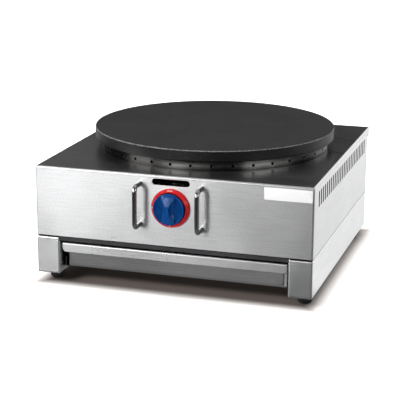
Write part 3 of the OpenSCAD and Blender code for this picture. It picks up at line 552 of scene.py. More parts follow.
@dataclass(frozen=True)
class DrawerSteel(SheetSteel):
    """Smooth sheet of the drawer, with level lines on its pull lip alone."""

    lip: float = -0.2015
    lip_fade: float = 1.0 * MM
    lip_rough: float = 0.055

    def on_lip(self, bench: Bench, amount: float) -> Socket:
        """Gives an amount on the pull lip, and 0 behind it."""
        return bench.span(bench.axis(1), self.lip + self.lip_fade, self.lip - self.lip_fade, 0.0, amount)

    def length(self, bench: Bench) -> Value:
        """Gives the stretch of the gloss, which ends behind the lip."""
        return self.on_lip(bench, self.stretch)

    def lay(self, bench: Bench) -> None:
        """Lays the sheet, and makes its lip rougher.

        Args:
            bench: Node tree of the finish.
        """
        super().lay(bench)
        smooth = bench.surface.inputs["Roughness"].links[0].from_socket
        bench.wire(bench.plus(smooth, self.on_lip(bench, self.lip_rough)), "Roughness")


@dataclass(frozen=True)
class TopSheet(Finish):
    """Glossy top sheet whose face is painted dark, a painted reflection of dark surroundings, while its folded
    edges keep the satin colour of the casing.
    """

    # Painted reflection: the face is far darker than the same steel on the folds, for the dark surroundings it
    # mirrors.
    colour: Colour = (0.345, 0.348, 0.352)
    dark: float = 0.82
    pale: float = 1.22
    edge_colour: Colour = (0.78, 0.785, 0.79)
    edge: float = 0.3 * MM
    half: float = 0.225
    front: float = -0.2146
    fold: Pair = (2.3 * MM, 1.6 * MM)
    stretch: float = 0.95
    clouds: Pattern = Pattern(11.0, 4.0)
    cloud_tone: Pair = (0.1, 0.7)
    lines: Pattern = Pattern(1000.0, 1.0, Grain.ACROSS)
    line_tone: Pair = (0.0, 0.2)
    smears: Pattern = Pattern(30.0, 3.0, Grain.SMEARED)
    rough: Band = (0.3, 0.75, 0.27, 0.35)
    waves: Pattern = Pattern(11.0, 1.0)
    wave_depth: float = 0.10 * MM

    def lay(self, bench: Bench) -> None:
        """Lays the sheet painted dark, its wiped smears and the satin edges.

        Args:
            bench: Node tree of the finish.
        """
        side = bench.span(bench.sideways(), *(self.half - inset for inset in self.fold))
        nose = bench.span(bench.axis(1), *(self.front + inset for inset in self.fold))
        edge = bench.most(side, nose)
        tone = bench.plus(bench.sway(bench.noise(self.clouds), *self.cloud_tone),
                          bench.sway(bench.noise(self.lines), *self.line_tone))
        sheet = bench.blend(tone, shaded(self.colour, self.dark), shaded(self.colour, self.pale))
        bench.wire(bench.blend(edge, sheet, self.edge_colour), "Base Color")
        bench.wire(bench.span(bench.noise(self.smears), *self.rough), "Roughness")
        bench.relief(bench.noise(self.waves), self.wave_depth, self.edge)
        bench.stretch_gloss(bench.span(edge, 0.0, 1.0, 0.0, self.stretch))
        bench.fix(Metallic=1.0)


@dataclass(frozen=True)
class ShadedStrip(Finish):
    """Stainless flame strip with painted shade: dark at its head under the plate and along its left side,
    darker towards its foot, and brightest along the holes.
    """

    # Painted shade: the dark colour of the strip where the plate above and the left side shade it.
    ring_shade_colour: Colour = (0.035, 0.034, 0.033)
    # Colour of the lit band along the holes, against the painted shade.
    bright: Colour = (0.26, 0.256, 0.25)
    lit_heights: Stops = ((0.193, 0.1), (0.1972, 0.55), (0.1997, 1.0), (0.2027, 0.5), (0.2085, 0.0))
    wander: Pair = (-1.0 * MM, 1.0 * MM)
    left_shade: Band = (-0.05, 0.03, 0.12, 1.0)
    clouds: Pattern = Pattern(38.0, 3.0)
    rough: Pair = (0.15, 0.24)
    lines: Pattern = Pattern(1800.0, 2.0, Grain.LEVEL)
    line_depth: float = 0.008 * MM
    edge: float = 0.3 * MM

    def lay(self, bench: Bench) -> None:
        """Lays the painted shade by height and from side to side, broken up by clouds.

        Args:
            bench: Node tree of the finish.
        """
        cloud = bench.noise(self.clouds)
        height = bench.plus(bench.axis(2), bench.sway(cloud, *self.wander))
        clean = bench.times(bench.ramp(height, self.lit_heights), bench.span(bench.axis(0), *self.left_shade))
        bench.wire(bench.blend(clean, self.ring_shade_colour, self.bright), "Base Color")
        bench.wire(bench.sway(cloud, *self.rough), "Roughness")
        bench.relief(bench.noise(self.lines), self.line_depth, self.edge)
        bench.fix(Metallic=1.0)


@dataclass(frozen=True)
class PlatedSteel(Finish):
    """Zinc-plated or mill-finish steel with a faint spangle."""

    colour: Colour = (0.55, 0.56, 0.57)
    rough: float = 0.36
    spangle: float = 260.0
    spangle_tone: Pair = (0.15, 0.6)
    spangle_depth: float = 0.01 * MM
    dark: float = 0.78
    blooms: Pattern = Pattern(24.0, 4.0)
    bloom_tone: Pair = (0.0, 0.4)
    dull: Pair = (-0.06, 0.1)
    edge: float = 0.25 * MM

    def lay(self, bench: Bench) -> None:
        """Lays the spangle and a dull bloom.

        Args:
            bench: Node tree of the finish.
        """
        shade = bench.axis(0, bench.cells(self.spangle).outputs["Color"])
        bloom = bench.noise(self.blooms)
        tone = bench.plus(bench.span(shade, 0.0, 1.0, *self.spangle_tone),
                          bench.sway(bloom, *self.bloom_tone))
        bench.wire(bench.blend(tone, shaded(self.colour, self.dark), self.colour), "Base Color")
        bench.wire(bench.sway(bloom, *(self.rough + step for step in self.dull)), "Roughness")
        bench.relief(shade, self.spangle_depth, self.edge)
        bench.fix(Metallic=1.0)


@dataclass(frozen=True)
class PolishedBar(Finish):
    """Polished chrome bar with handling marks."""

    colour: Colour = (0.47, 0.474, 0.482)
    dull: float = 0.93
    haze: Pattern = Pattern(70.0, 4.0)
    haze_range: Pair = (0.3, 0.8)
    haze_rough: Band = (0.35, 0.8, 0.05, 0.13)
    hairs: Pattern = Pattern(1500.0, 2.0, Grain.UPRIGHT)
    hair_rough: Band = (0.4, 0.8, 0.0, 0.04)
    hair_depth: float = 0.002 * MM

    def lay(self, bench: Bench) -> None:
        """Lays fine handling marks on the polish.

        Args:
            bench: Node tree of the finish.
        """
        haze = bench.noise(self.haze)
        hair = bench.noise(self.hairs)
        worn = bench.span(haze, *self.haze_range)
        bench.wire(bench.blend(worn, self.colour, shaded(self.colour, self.dull)), "Base Color")
        rough = bench.plus(bench.span(haze, *self.haze_rough), bench.span(hair, *self.hair_rough))
        bench.wire(rough, "Roughness")
        bench.relief(hair, self.hair_depth)
        bench.fix(Metallic=1.0)


@dataclass(frozen=True)
class SeasonedPlate(Finish):
    """Black cast cooking plate: fine matt tooth, pale specks, glossier wall, painted highlight along the upper
    edge.
    """

    colour: Colour = (0.0215, 0.0215, 0.022)
    deep: float = 0.5
    wall_colour: Colour = (0.004, 0.004, 0.004)
    wall_share: float = 0.8
    wall_gloss: float = 0.2
    speck_colour: Colour = (0.10, 0.10, 0.10)
    # Painted highlight: a pale colour on the upper outer edge, broken up by the tooth.
    rim_highlight_colour: Colour = (0.22, 0.22, 0.22)
    radius: float = 0.2
    middle: float = 0.021375
    top: float = 0.227
    rim_highlight_in: Pair = (1.6 * MM, 0.5 * MM)
    rim_highlight_down: Pair = (2.0 * MM, 1.2 * MM)
    wall_down: Pair = (1.0 * MM, 2.2 * MM)
    rim_highlight_teeth: Pair = (0.35, 0.6)
    teeth: Pattern = Pattern(420.0, 2.0)
    tooth_tone: Band = (0.35, 0.65, 0.0, 0.75)
    tooth_depth: float = 0.13 * MM
    grit_per_m: float = 300.0
    grit_size: Pair = (0.22, 0.10)
    grit_choice: Pair = (0.80, 0.86)
    clouds: Pattern = Pattern(14.0, 4.0)
    cloud_tone: Pair = (0.25, 0.5)
    rough: Pair = (0.52, 0.64)
    shine: float = 0.35

    def reach(self, bench: Bench) -> Socket:
        """Gives the distance from the middle of the plate.

        Args:
            bench: Node tree of the finish.

        Returns:
            The distance in metres.
        """
        length = bench.nodes.new("ShaderNodeVectorMath")
        length.operation = "LENGTH"
        bench.wire(bench.stretched((1.0, 1.0, 0.0), (0.0, -self.middle, 0.0)), length.inputs[0])
        return length.outputs["Value"]

    def lay(self, bench: Bench) -> None:
        """Lays the tooth, the specks, the wall and the painted highlight on the upper edge.

        Args:
            bench: Node tree of the finish.
        """
        tooth = bench.noise(self.teeth)
        grit = bench.cells(self.grit_per_m)
        cloud = bench.noise(self.clouds)
        chosen = bench.span(bench.axis(0, grit.outputs["Color"]), *self.grit_choice)
        speck = bench.times(bench.span(grit.outputs["Distance"], *self.grit_size), chosen)
        wide = bench.span(self.reach(bench), *(self.radius - inset for inset in self.rim_highlight_in))
        high = bench.span(bench.axis(2), *(self.top - drop for drop in self.rim_highlight_down))
        wall = bench.span(bench.axis(2), *(self.top - drop for drop in self.wall_down))
        # Painted highlight along the upper edge of the plate.
        rim_highlight = bench.times(bench.times(wide, high), bench.span(tooth, *self.rim_highlight_teeth))
        tone = bench.plus(bench.sway(cloud, *self.cloud_tone), bench.span(tooth, *self.tooth_tone))
        base = bench.blend(tone, shaded(self.colour, self.deep), self.colour)
        base = bench.blend(bench.times(wall, self.wall_share), base, self.wall_colour)
        base = bench.blend(speck, base, self.speck_colour)
        bench.wire(bench.blend(rim_highlight, base, self.rim_highlight_colour), "Base Color")
        rough = bench.calc("SUBTRACT", bench.sway(cloud, *self.rough), bench.times(wall, self.wall_gloss))
        bench.wire(rough, "Roughness")
        bench.relief(tooth, self.tooth_depth)
        bench.fix(Specular_IOR_Level=self.shine)


@dataclass(frozen=True)
class RoughCasting(Finish):
    """Sand-cast iron with a coarse skin and rust bloom."""

    dark: Colour = (0.055, 0.055, 0.057)
    pale: Colour = (0.115, 0.113, 0.11)
    rust: Colour = (0.17, 0.085, 0.045)
    rust_share: Band = (0.58, 0.78, 0.0, 0.6)
    sand: Pattern = Pattern(700.0, 4.0)
    sand_depth: float = 0.25 * MM
    blooms: Pattern = Pattern(26.0, 4.0)
    rough: Pair = (0.55, 0.8)
    metal: float = 0.6
    edge: float = 0.8 * MM

    def lay(self, bench: Bench) -> None:
        """Lays the sand skin and the bloom.

        Args:
            bench: Node tree of the finish.
        """
        sand = bench.noise(self.sand)
        bloom = bench.span(bench.noise(self.blooms), *self.rust_share)
        base = bench.blend(bench.sway(sand), self.dark, self.pale)
        bench.wire(bench.blend(bloom, base, self.rust), "Base Color")
        bench.wire(bench.sway(sand, *self.rough), "Roughness")
        bench.relief(sand, self.sand_depth, self.edge)
        bench.fix(Metallic=self.metal)


@dataclass(frozen=True)
class TurnedBrass(Finish):
    """Machined brass or copper with lathe lines and tarnish."""

    colour: Colour = (0.72, 0.50, 0.19)
    tarnish: Colour = (0.32, 0.20, 0.085)
    tarnish_share: Band = (0.42, 0.72, 0.0, 0.75)
    clouds: Pattern = Pattern(48.0, 4.0)
    rough: Band = (0.35, 0.7, 0.22, 0.46)
    lines: Pattern = Pattern(1700.0, 1.0, Grain.UPRIGHT)
    line_depth: float = 0.012 * MM
    edge: float = 0.3 * MM

    def lay(self, bench: Bench) -> None:
        """Lays the tool lines and the tarnish.

        Args:
            bench: Node tree of the finish.
        """
        cloud = bench.noise(self.clouds)
        tarnished = bench.span(cloud, *self.tarnish_share)
        bench.wire(bench.blend(tarnished, self.colour, self.tarnish), "Base Color")
        bench.wire(bench.span(cloud, *self.rough), "Roughness")
        bench.relief(bench.noise(self.lines), self.line_depth, self.edge)
        bench.fix(Metallic=1.0)


@dataclass(frozen=True)
class MouldedRubber(Finish):
    """Matt black moulded rubber with dust in its pores."""

    dark: Colour = (0.010, 0.010, 0.010)
    pale: Colour = (0.020, 0.020, 0.020)
    dust_colour: Colour = (0.05, 0.048, 0.045)
    dust_share: Band = (0.55, 0.85, 0.0, 0.5)
    dust: Pattern = Pattern(40.0, 4.0)
    pores: Pattern = Pattern(900.0, 3.0)
    pore_depth: float = 0.04 * MM
    rough: Pair = (0.6, 0.78)
    shine: float = 0.35
    edge: float = 0.6 * MM

    def lay(self, bench: Bench) -> None:
        """Lays the pores and the dust.

        Args:
            bench: Node tree of the finish.
        """
        pore = bench.noise(self.pores)
        dust = bench.noise(self.dust)
        base = bench.blend(bench.sway(pore), self.dark, self.pale)
        bench.wire(bench.blend(bench.span(dust, *self.dust_share), base, self.dust_colour), "Base Color")
        bench.wire(bench.sway(dust, *self.rough), "Roughness")
        bench.relief(pore, self.pore_depth, self.edge)
        bench.fix(Specular_IOR_Level=self.shine)


@dataclass(frozen=True)
class GlossPlastic(Finish):
    """Moulded gloss plastic: slight flow marks, soft scratches, rounded edges."""

    colour: Colour = (0.001, 0.048, 0.20)
    rough: float = 0.10
    edge: float = 0.35 * MM
    dark: float = 0.85
    pale: float = 1.10
    flow: Pattern = Pattern(120.0, 3.0)
    flow_rough: Pair = (-0.03, 0.05)
    flow_depth: float = 0.02 * MM
    scratches: Pattern = Pattern(1400.0, 2.0, Grain.SCRATCHED)
    scratch_rough: Band = (0.55, 0.8, 0.0, 0.08)
    shine: float = 0.32

    def painted_shade(self, bench: Bench, base: Socket) -> Socket:
        """Gives the colour as it is: the plain moulding has no painted shade."""
        return base

    def lay(self, bench: Bench) -> None:
        """Lays the flow marks and the scratches.

        Args:
            bench: Node tree of the finish.
        """
        flow = bench.noise(self.flow)
        base = bench.blend(bench.sway(flow), shaded(self.colour, self.dark), shaded(self.colour, self.pale))
        bench.wire(self.painted_shade(bench, base), "Base Color")
        rough = bench.plus(bench.sway(flow, *(self.rough + step for step in self.flow_rough)),
                           bench.span(bench.noise(self.scratches), *self.scratch_rough))
        bench.wire(rough, "Roughness")
        bench.relief(flow, self.flow_depth, self.edge)
        bench.fix(Specular_IOR_Level=self.shine)


@dataclass(frozen=True)
class KnobPlastic(GlossPlastic):
    """Gloss plastic with painted shade where the knob sinks into its dial."""

    # Painted shade on the foot of the knob, where the dial shades it.
    foot_shade_span: Pair = (-0.2281, -0.2251)
    foot_shade_share: float = 0.9
    foot_shade_colour: Colour = (0.0005, 0.004, 0.012)

    def painted_shade(self, bench: Bench, base: Socket) -> Socket:
        """Darkens the foot of the knob with painted shade."""
        near = bench.span(bench.axis(1), *self.foot_shade_span, 0.0, self.foot_shade_share)
        return bench.blend(near, base, self.foot_shade_colour)


@dataclass(frozen=True)
class PrintedInk(Finish):
    """Screen-printed ink or a printed film, slightly worn."""

    colour: Colour = (0.86, 0.86, 0.85)
    wear: float = 0.12
    marks: Pattern = Pattern(900.0, 3.0)
    mark_depth: float = 0.004 * MM
    clouds: Pattern = Pattern(25.0, 3.0)
    tone: Pair = (0.0, 0.5)
    rough: Pair = (0.3, 0.42)

    def lay(self, bench: Bench) -> None:
        """Lays the ink and its wear.

        Args:
            bench: Node tree of the finish.
        """
        worn = bench.noise(self.marks)
        cloud = bench.noise(self.clouds)
        tone = bench.plus(bench.sway(worn, *self.tone), bench.sway(cloud, *self.tone))
        bench.wire(bench.blend(tone, shaded(self.colour, 1.0 - self.wear), self.colour), "Base Color")
        bench.wire(bench.sway(cloud, *self.rough), "Roughness")
        bench.relief(worn, self.mark_depth)


class Piece:
    """A new piece in the making: a bmesh that becomes an object at the origin and rides on a body."""

    corner_steps: int = 5
    sharp_edge: float = 1.2
    merge: float = 1e-7

    def __init__(self, name: str) -> None:
        """Starts an empty mesh.

        Args:
            name: Name of the piece.
        """
        self.name = name
        self.bm = bmesh.new()

    def ease(self, edges: Sequence[bmesh.types.BMEdge], radius: float, steps: int = 2) -> None:
        """Rounds edges off by a radius, in a number of steps."""
        bmesh.ops.bevel(self.bm, geom=edges, offset=radius, segments=steps, profile=0.5, affect="EDGES",
                        material=-1)

    def sheet(self, size: Triple, corner: float, edge: float) -> None:
        """Makes a flat plate with rounded corners and eased edges, centred, with its thickness along Y.

        Args:
            size: Width, thickness and height.
            corner: Corner radius.
            edge: Radius of the eased edges.
        """
        bmesh.ops.create_cube(self.bm, size=1.0)
        bmesh.ops.scale(self.bm, vec=size, verts=self.bm.verts)
        corners = [e for e in self.bm.edges if abs(e.verts[0].co.y - e.verts[1].co.y) > size[1] / 2]
        self.ease(corners, corner, self.corner_steps)
        rims = [e for e in self.bm.edges if e.is_manifold and e.calc_face_angle(0.0) > self.sharp_edge]
        self.ease(rims, edge)

    def ring(self, points: Sequence[Pair], steps: int) -> None:
        """Turns a closed outline round the Y axis.

        Args:
            points: Radius and place along Y of each corner.
            steps: Facets round the turn.
        """
        start = [self.bm.verts.new((r, y, 0.0)) for r, y in points]
        edges = [self.bm.edges.new((a, b)) for a, b in zip(start, start[1:] + start[:1])]
        bmesh.ops.spin(self.bm, geom=start + edges, cent=(0, 0, 0), axis=(0, 1, 0), dvec=(0, 0, 0),
                       angle=math.tau, steps=steps, use_merge=True, use_duplicate=False)

    def helix(self, section: Sequence[Pair], turns: float, pitch: float, steps: int) -> None:
        """Sweeps a closed section along a screw line on the Y axis, and closes both ends.

        Args:
            section: Radius and place along Y of each corner of the section.
            turns: Number of turns.
            pitch: Rise of one turn along Y.
            steps: Facets in one turn.
        """
        first = self.bm.faces.new([self.bm.verts.new((r, y, 0.0)) for r, y in section])
        bmesh.ops.spin(self.bm, geom=[first], cent=(0, 0, 0), axis=(0, 1, 0), dvec=(0, pitch / steps, 0),
                       angle=math.tau * turns, steps=round(turns * steps), use_duplicate=False)

    def raised(self, faces: Sequence[bmesh.types.BMFace], move: Triple) -> list[bmesh.types.BMVert]:
        """Extrudes faces and moves the new end.

        Args:
            faces: What is extruded.
            move: How far the end goes on X, Y and Z.

        Returns:
            The vertices of the new end.
        """
        made = bmesh.ops.extrude_face_region(self.bm, geom=faces)
        tops = [g for g in made["geom"] if isinstance(g, bmesh.types.BMVert)]
        bmesh.ops.translate(self.bm, vec=move, verts=tops)
        return tops

    def close(self) -> None:
        """Merges doubles and turns all the faces outwards."""
        bmesh.ops.remove_doubles(self.bm, verts=self.bm.verts, dist=self.merge)
        bmesh.ops.recalc_face_normals(self.bm, faces=self.bm.faces)

    def shift(self, move: Union[Triple, Vector]) -> None:
        """Moves the whole mesh."""
        bmesh.ops.translate(self.bm, vec=move, verts=self.bm.verts)

    def map(self, place: Callable[[Vector], Vector]) -> None:
        """Moves every vertex by a function of its place."""
        for vert in self.bm.verts:
            vert.co = place(vert.co)

    def finish(self, material: bpy.types.Material, body: Body, slot: Optional[Slot] = None,
               instead_of: Iterable[str] = (), smooth: float = 35.0) -> bpy.types.Object:
        """Makes the object, gives it its material and lets it ride on its body.

        Args:
            material: The finish.
            body: Body that it rides on.
            slot: Material slot of the record, where one fits; not used.
            instead_of: Solids that the piece stands for.
            smooth: Largest angle, in degrees, that is shaded smooth.

        Returns:
            The new object.
        """
        mesh = mesh_of(self.name, self.bm, material)
        mesh.shade_smooth()
        mesh.set_sharp_from_angle(angle=math.radians(smooth))
        obj = put(self.name, mesh)
        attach(obj, body.value)
        nodes = tuple(instead_of)
        if nodes:
            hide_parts(*nodes)
        LOG.info("piece %s rides on %s, %d faces", self.name, body.value, len(mesh.polygons))
        return obj


@dataclass
class Casing:
    """Sheet casing with its bare label plate."""

    label_low: Pair = (0.1475, 0.1692)
    label_high: Pair = (0.2225, 0.1882)
    label_thick: float = 0.5 * MM
    label_corner: float = 0.8 * MM
    label_edge: float = 0.12 * MM

    def build_label(self, material: bpy.types.Material) -> bpy.types.Object:
        """Makes the bare white label plate at the top right of the front.

        Args:
            material: Its finish.

        Returns:
            The piece.
        """
        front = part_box("front_panel")[0].y
        (x0, z0), (x1, z1) = self.label_low, self.label_high
        piece = Piece("label_plate")
        piece.sheet((x1 - x0, self.label_thick, z1 - z0), self.label_corner, self.label_edge)
        piece.shift(((x0 + x1) / 2, front - self.label_thick / 2, (z0 + z1) / 2))
        return piece.finish(material, Body.CHASSIS)


@dataclass
class Dial:
    """Print on the sloped face of the red dial ring."""

    outer: float = 29.9 * MM
    inner: float = 26.4 * MM
    outer_out: float = 5.2 * MM
    inner_out: float = 8.6 * MM
    tap_z: float = 0.143
    thick: float = 0.10 * MM
    letter: float = 4.0 * MM
    letter_space: float = 1.3
    letter_steps: int = 3
    flames: tuple[tuple[str, float, float], ...] = (("large_flame_mark", 2.2 * MM, -90.0),
                                                    ("small_flame_mark", 1.3 * MM, -180.0))
    flame_steps: int = 20
    flame_taper: float = 0.55
    flame_bend: float = 0.12
    flame_rise: float = 0.9
    flame_drop: float = 0.2

    def wrap(self, turn: float) -> Callable[[Vector], Vector]:
        """Gives the move that lays a flat mark on the sloped face.

        Args:
            turn: Angle of the mark from the top, clockwise seen from the front, in degrees.

        Returns:
            A function from the flat place (across, up, raised) to the place on the ring.
        """
        run, drop = self.outer - self.inner, self.inner_out - self.outer_out
        slope = math.hypot(run, drop)
        radius, out = (self.outer + self.inner) / 2, (self.outer_out + self.inner_out) / 2
        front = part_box("front_panel")[0].y

        def place(flat: Vector) -> Vector:
            """Gives the place on the ring.

            Args:
                flat: Place across, up and raised.

            Returns:
                The place in metres.
            """
            angle = math.radians(turn) + flat.x / radius
            r = radius + flat.y * run / slope + flat.z * drop / slope
            y = front - (out - flat.y * drop / slope + flat.z * run / slope)
            return Vector((r * math.sin(angle), y, self.tap_z + r * math.cos(angle)))

        return place

    def build_word(self, text: str, turn: float, ink: bpy.types.Material) -> bpy.types.Object:
        """Prints a word on the ring.

        Args:
            text: The word.
            turn: Angle from the top, in degrees.
            ink: Its finish.

        Returns:
            The piece.
        """
        curve = bpy.data.curves.new("dial_word", "FONT")
        curve.body = text
        curve.size = self.letter
        curve.align_x, curve.align_y = "CENTER", "CENTER"
        curve.space_character = self.letter_space
        curve.extrude = self.thick / 2
        curve.resolution_u = self.letter_steps
        holder = put("dial_word_flat", curve)
        bpy.context.view_layer.update()
        flat = bpy.data.meshes.new_from_object(holder.evaluated_get(bpy.context.evaluated_depsgraph_get()))
        bpy.data.objects.remove(holder)
        bpy.data.curves.remove(curve)
        piece = Piece("dial_word")
        piece.bm.from_mesh(flat)
        bpy.data.meshes.remove(flat)
        piece.map(self.wrap(turn))
        return piece.finish(ink, Body.CHASSIS)

    def build_flame(self, name: str, size: float, turn: float, ink: bpy.types.Material) -> bpy.types.Object:
        """Prints a small flame mark, a drop with a bent tip.

        Args:
            name: Name of the piece.
            size: Width of the flame.
            turn: Angle from the top, in degrees.
            ink: Its finish.

        Returns:
            The piece.
        """
        piece = Piece(name)
        bmesh.ops.create_circle(piece.bm, cap_ends=True, segments=self.flame_steps, radius=size / 2)
        for vert in piece.bm.verts:
            rise = max(0.0, vert.co.y / (size / 2))
            vert.co.x = vert.co.x * (1.0 - self.flame_taper * rise) + self.flame_bend * size * rise * rise
            vert.co.y *= 1.0 + self.flame_rise * rise
        piece.raised(piece.bm.faces[:], (0, 0, self.thick))
        piece.shift((0, -self.flame_drop * size, -self.thick / 2))
        piece.close()
        piece.map(self.wrap(turn))
        return piece.finish(ink, Body.CHASSIS)


@dataclass
class GasTap:
    """Wound stem spring behind the knob."""

    wire: float = 1.0 * MM
    wire_sides: int = 12
    turns: float = 5.0
    turn_steps: int = 36
    stroke: float = 4.0 * MM

    def build_spring(self, material: bpy.types.Material) -> bpy.types.Object:
        """Makes the round-wire spring, which rides on the plug.

        Args:
            material: Its finish.

        Returns:
            The piece.
        """
        low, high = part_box("stem_spring")
        length = high.y - low.y
        half = self.wire / 2
        coil = (high.x - low.x) / 2 - half
        angles = (math.tau * side / self.wire_sides for side in range(self.wire_sides))
        section = [(coil + half * math.cos(a), half * math.sin(a)) for a in angles]
        piece = Piece("wound_spring")
        piece.helix(section, self.turns, (length - self.wire) / self.turns, self.turn_steps)
        piece.close()
        middle = Vector((0.0, low.y + half, (low.z + high.z) / 2))
        piece.shift(middle)
        obj = piece.finish(material, Body.PLUG, Slot.FASTENER, ["stem_spring"])
        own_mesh(obj)
        return obj


@dataclass
class GasInlet:
    """Hexagon fitting with its pipe thread at the rear."""

    radius: float = 10.4775 * MM
    depth: float = 1.16 * MM
    pitch: float = 1.814 * MM
    crest: float = 0.12 * MM
    flank: float = 0.86 * MM
    sunk: float = 0.1 * MM
    lead_in: float = 1.3 * MM
    run_out: float = 1.9 * MM
    undercut: float = 0.4 * MM
    tip: float = 1.0 * MM
    tip_drop: float = 0.8 * MM
    bore: float = 5.24 * MM
    socket: float = 7.05 * MM
    socket_len: float = 8.0 * MM
    hexagon: float = 30.0 * MM
    hexagon_len: float = 8.0 * MM
    chamfer: float = 0.9 * MM
    core_steps: int = 72
    thread_steps: int = 40

    def turn_core(self, piece: Piece, start: float, shoulder: float, end: float) -> None:
        """Turns the bored core and winds the thread on it.

        Args:
            piece: Where it is made.
            start: Inner end along Y.
            shoulder: Rear face of the hexagon along Y.
            end: Outer end along Y.
        """
        root = self.radius - self.depth
        piece.ring([(self.socket, start), (self.radius, start), (self.radius, shoulder),
                    (root, shoulder + self.undercut), (root, end - self.tip), (root - self.tip_drop, end),
                    (self.bore, end), (self.bore, start + self.socket_len),
                    (self.socket, start + self.socket_len)], self.core_steps)
        first = shoulder + self.lead_in
        base = root - self.sunk
        section = [(base, first - self.flank), (self.radius, first - self.crest),
                   (self.radius, first + self.crest), (base, first + self.flank)]
        piece.helix(section, (end - self.run_out - first) / self.pitch, self.pitch, self.thread_steps)

    def add_hexagon(self, piece: Piece, back: float) -> None:
        """Adds the hexagon, with its rear rim chamfered.

        Args:
            piece: Where it is made.
            back: Front face of the hexagon along Y, on the rear panel.
        """
        across = self.hexagon / 2 / math.cos(math.pi / 6)
        made = bmesh.ops.create_circle(piece.bm, cap_ends=True, segments=6, radius=across)["verts"]
        bmesh.ops.rotate(piece.bm, verts=made, cent=(0, 0, 0), matrix=Matrix.Rotation(math.pi / 2, 3, "X"))
        flat = list({face for vert in made for face in vert.link_faces})
        tops = piece.raised(flat, (0, self.hexagon_len, 0))
        bmesh.ops.translate(piece.bm, vec=(0, back, 0), verts=tops + list(made))
        piece.ease([e for e in piece.bm.edges if e.verts[0] in tops and e.verts[1] in tops], self.chamfer)

    def build(self, material: bpy.types.Material) -> bpy.types.Object:
        """Makes the fitting: bored core, real screw thread and chamfered hexagon.

        Args:
            material: Its finish.

        Returns:
            The piece.
        """
        low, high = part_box("inlet_fitting")
        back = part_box("rear_panel")[1].y
        piece = Piece("threaded_inlet")
        self.turn_core(piece, low.y, back + self.hexagon_len, high.y)
        self.add_hexagon(piece, back)
        piece.close()
        piece.shift(((low.x + high.x) / 2, 0.0, (low.z + high.z) / 2))
        return piece.finish(material, Body.CHASSIS, Slot.BRASS, ["inlet_fitting"])


@dataclass(frozen=True)
class PhotoCamera:
    """Camera at the photograph's viewing angle."""

    lens: float = 123.926
    sensor: float = 36.0
    clip: Pair = (0.05, 60.0)
    place: Triple = (0.639741, -2.152205, 0.715288)
    azimuth: float = 17.014
    elevation: float = 15.340
    roll: float = 0.318

    def set_up(self) -> bpy.types.Object:
        """Makes the camera and hands it to the scene.

        Returns:
            The camera.
        """
        data = bpy.data.cameras.new("photo_camera")
        data.lens, data.sensor_width = self.lens, self.sensor
        data.clip_start, data.clip_end = self.clip
        camera = put("photo_camera", data)
        turn = (Matrix.Rotation(math.radians(self.azimuth), 4, "Z")
                @ Matrix.Rotation(math.radians(90.0 - self.elevation), 4, "X")
                @ Matrix.Rotation(math.radians(self.roll), 4, "Z"))
        camera.matrix_world = Matrix.Translation(self.place) @ turn
        bpy.context.scene.camera = camera
        return camera


@dataclass(frozen=True)
class Lamp:
    """One soft lamp of the studio."""

    name: str
    place: Triple
    aim: Triple
    size: Pair
    watts: float
    gloss: bool = True

    def hang(self) -> bpy.types.Object:
        """Makes the lamp and turns it to its aim.

        Returns:
            The lamp.
        """
        data = bpy.data.lights.new(self.name, "AREA")
        data.shape = "RECTANGLE"
        data.size, data.size_y = self.size
        data.energy = self.watts
        lamp = put(self.name, data)
        lamp.visible_glossy = self.gloss
        lamp.location = self.place
        lamp.rotation_mode = "QUATERNION"
        lamp.rotation_quaternion = (Vector(self.aim) - Vector(self.place)).to_track_quat("-Z", "Y")
        return lamp


@dataclass(frozen=True)
class Card:
    """A flat card that only gloss sees: a flag where it is dark and a soft box where it is bright."""

    name: str
    low: Triple
    high: Triple
    along: int
    stops: Stops
    strength: float = 1.0

    def set_up(self) -> bpy.types.Object:
        """Makes the card between its two corners, shaded along one axis.

        Returns:
            The card.
        """
        bench = Bench(self.name)
        glow = bench.nodes.new("ShaderNodeEmission")
        glow.inputs["Strength"].default_value = self.strength
        bench.wire(bench.ramp(bench.axis(self.along), self.stops), glow.inputs["Color"])
        bench.show(glow.outputs[0])
        low, step = Vector(self.low), Vector(self.high) - Vector(self.low)
        sides = [Vector((step.x, 0.0, 0.0)), Vector((0.0, step.y, 0.0)), Vector((0.0, 0.0, step.z))]
        one, two = (side for side in sides if side.length > 0.0)
        bm = bmesh.new()
        bm.faces.new([bm.verts.new(low + move) for move in (Vector(), one, one + two, two)])
        card = put(self.name, mesh_of(self.name, bm, bench.material))
        card.visible_camera = card.visible_diffuse = card.visible_shadow = card.visible_transmission = False
        return card


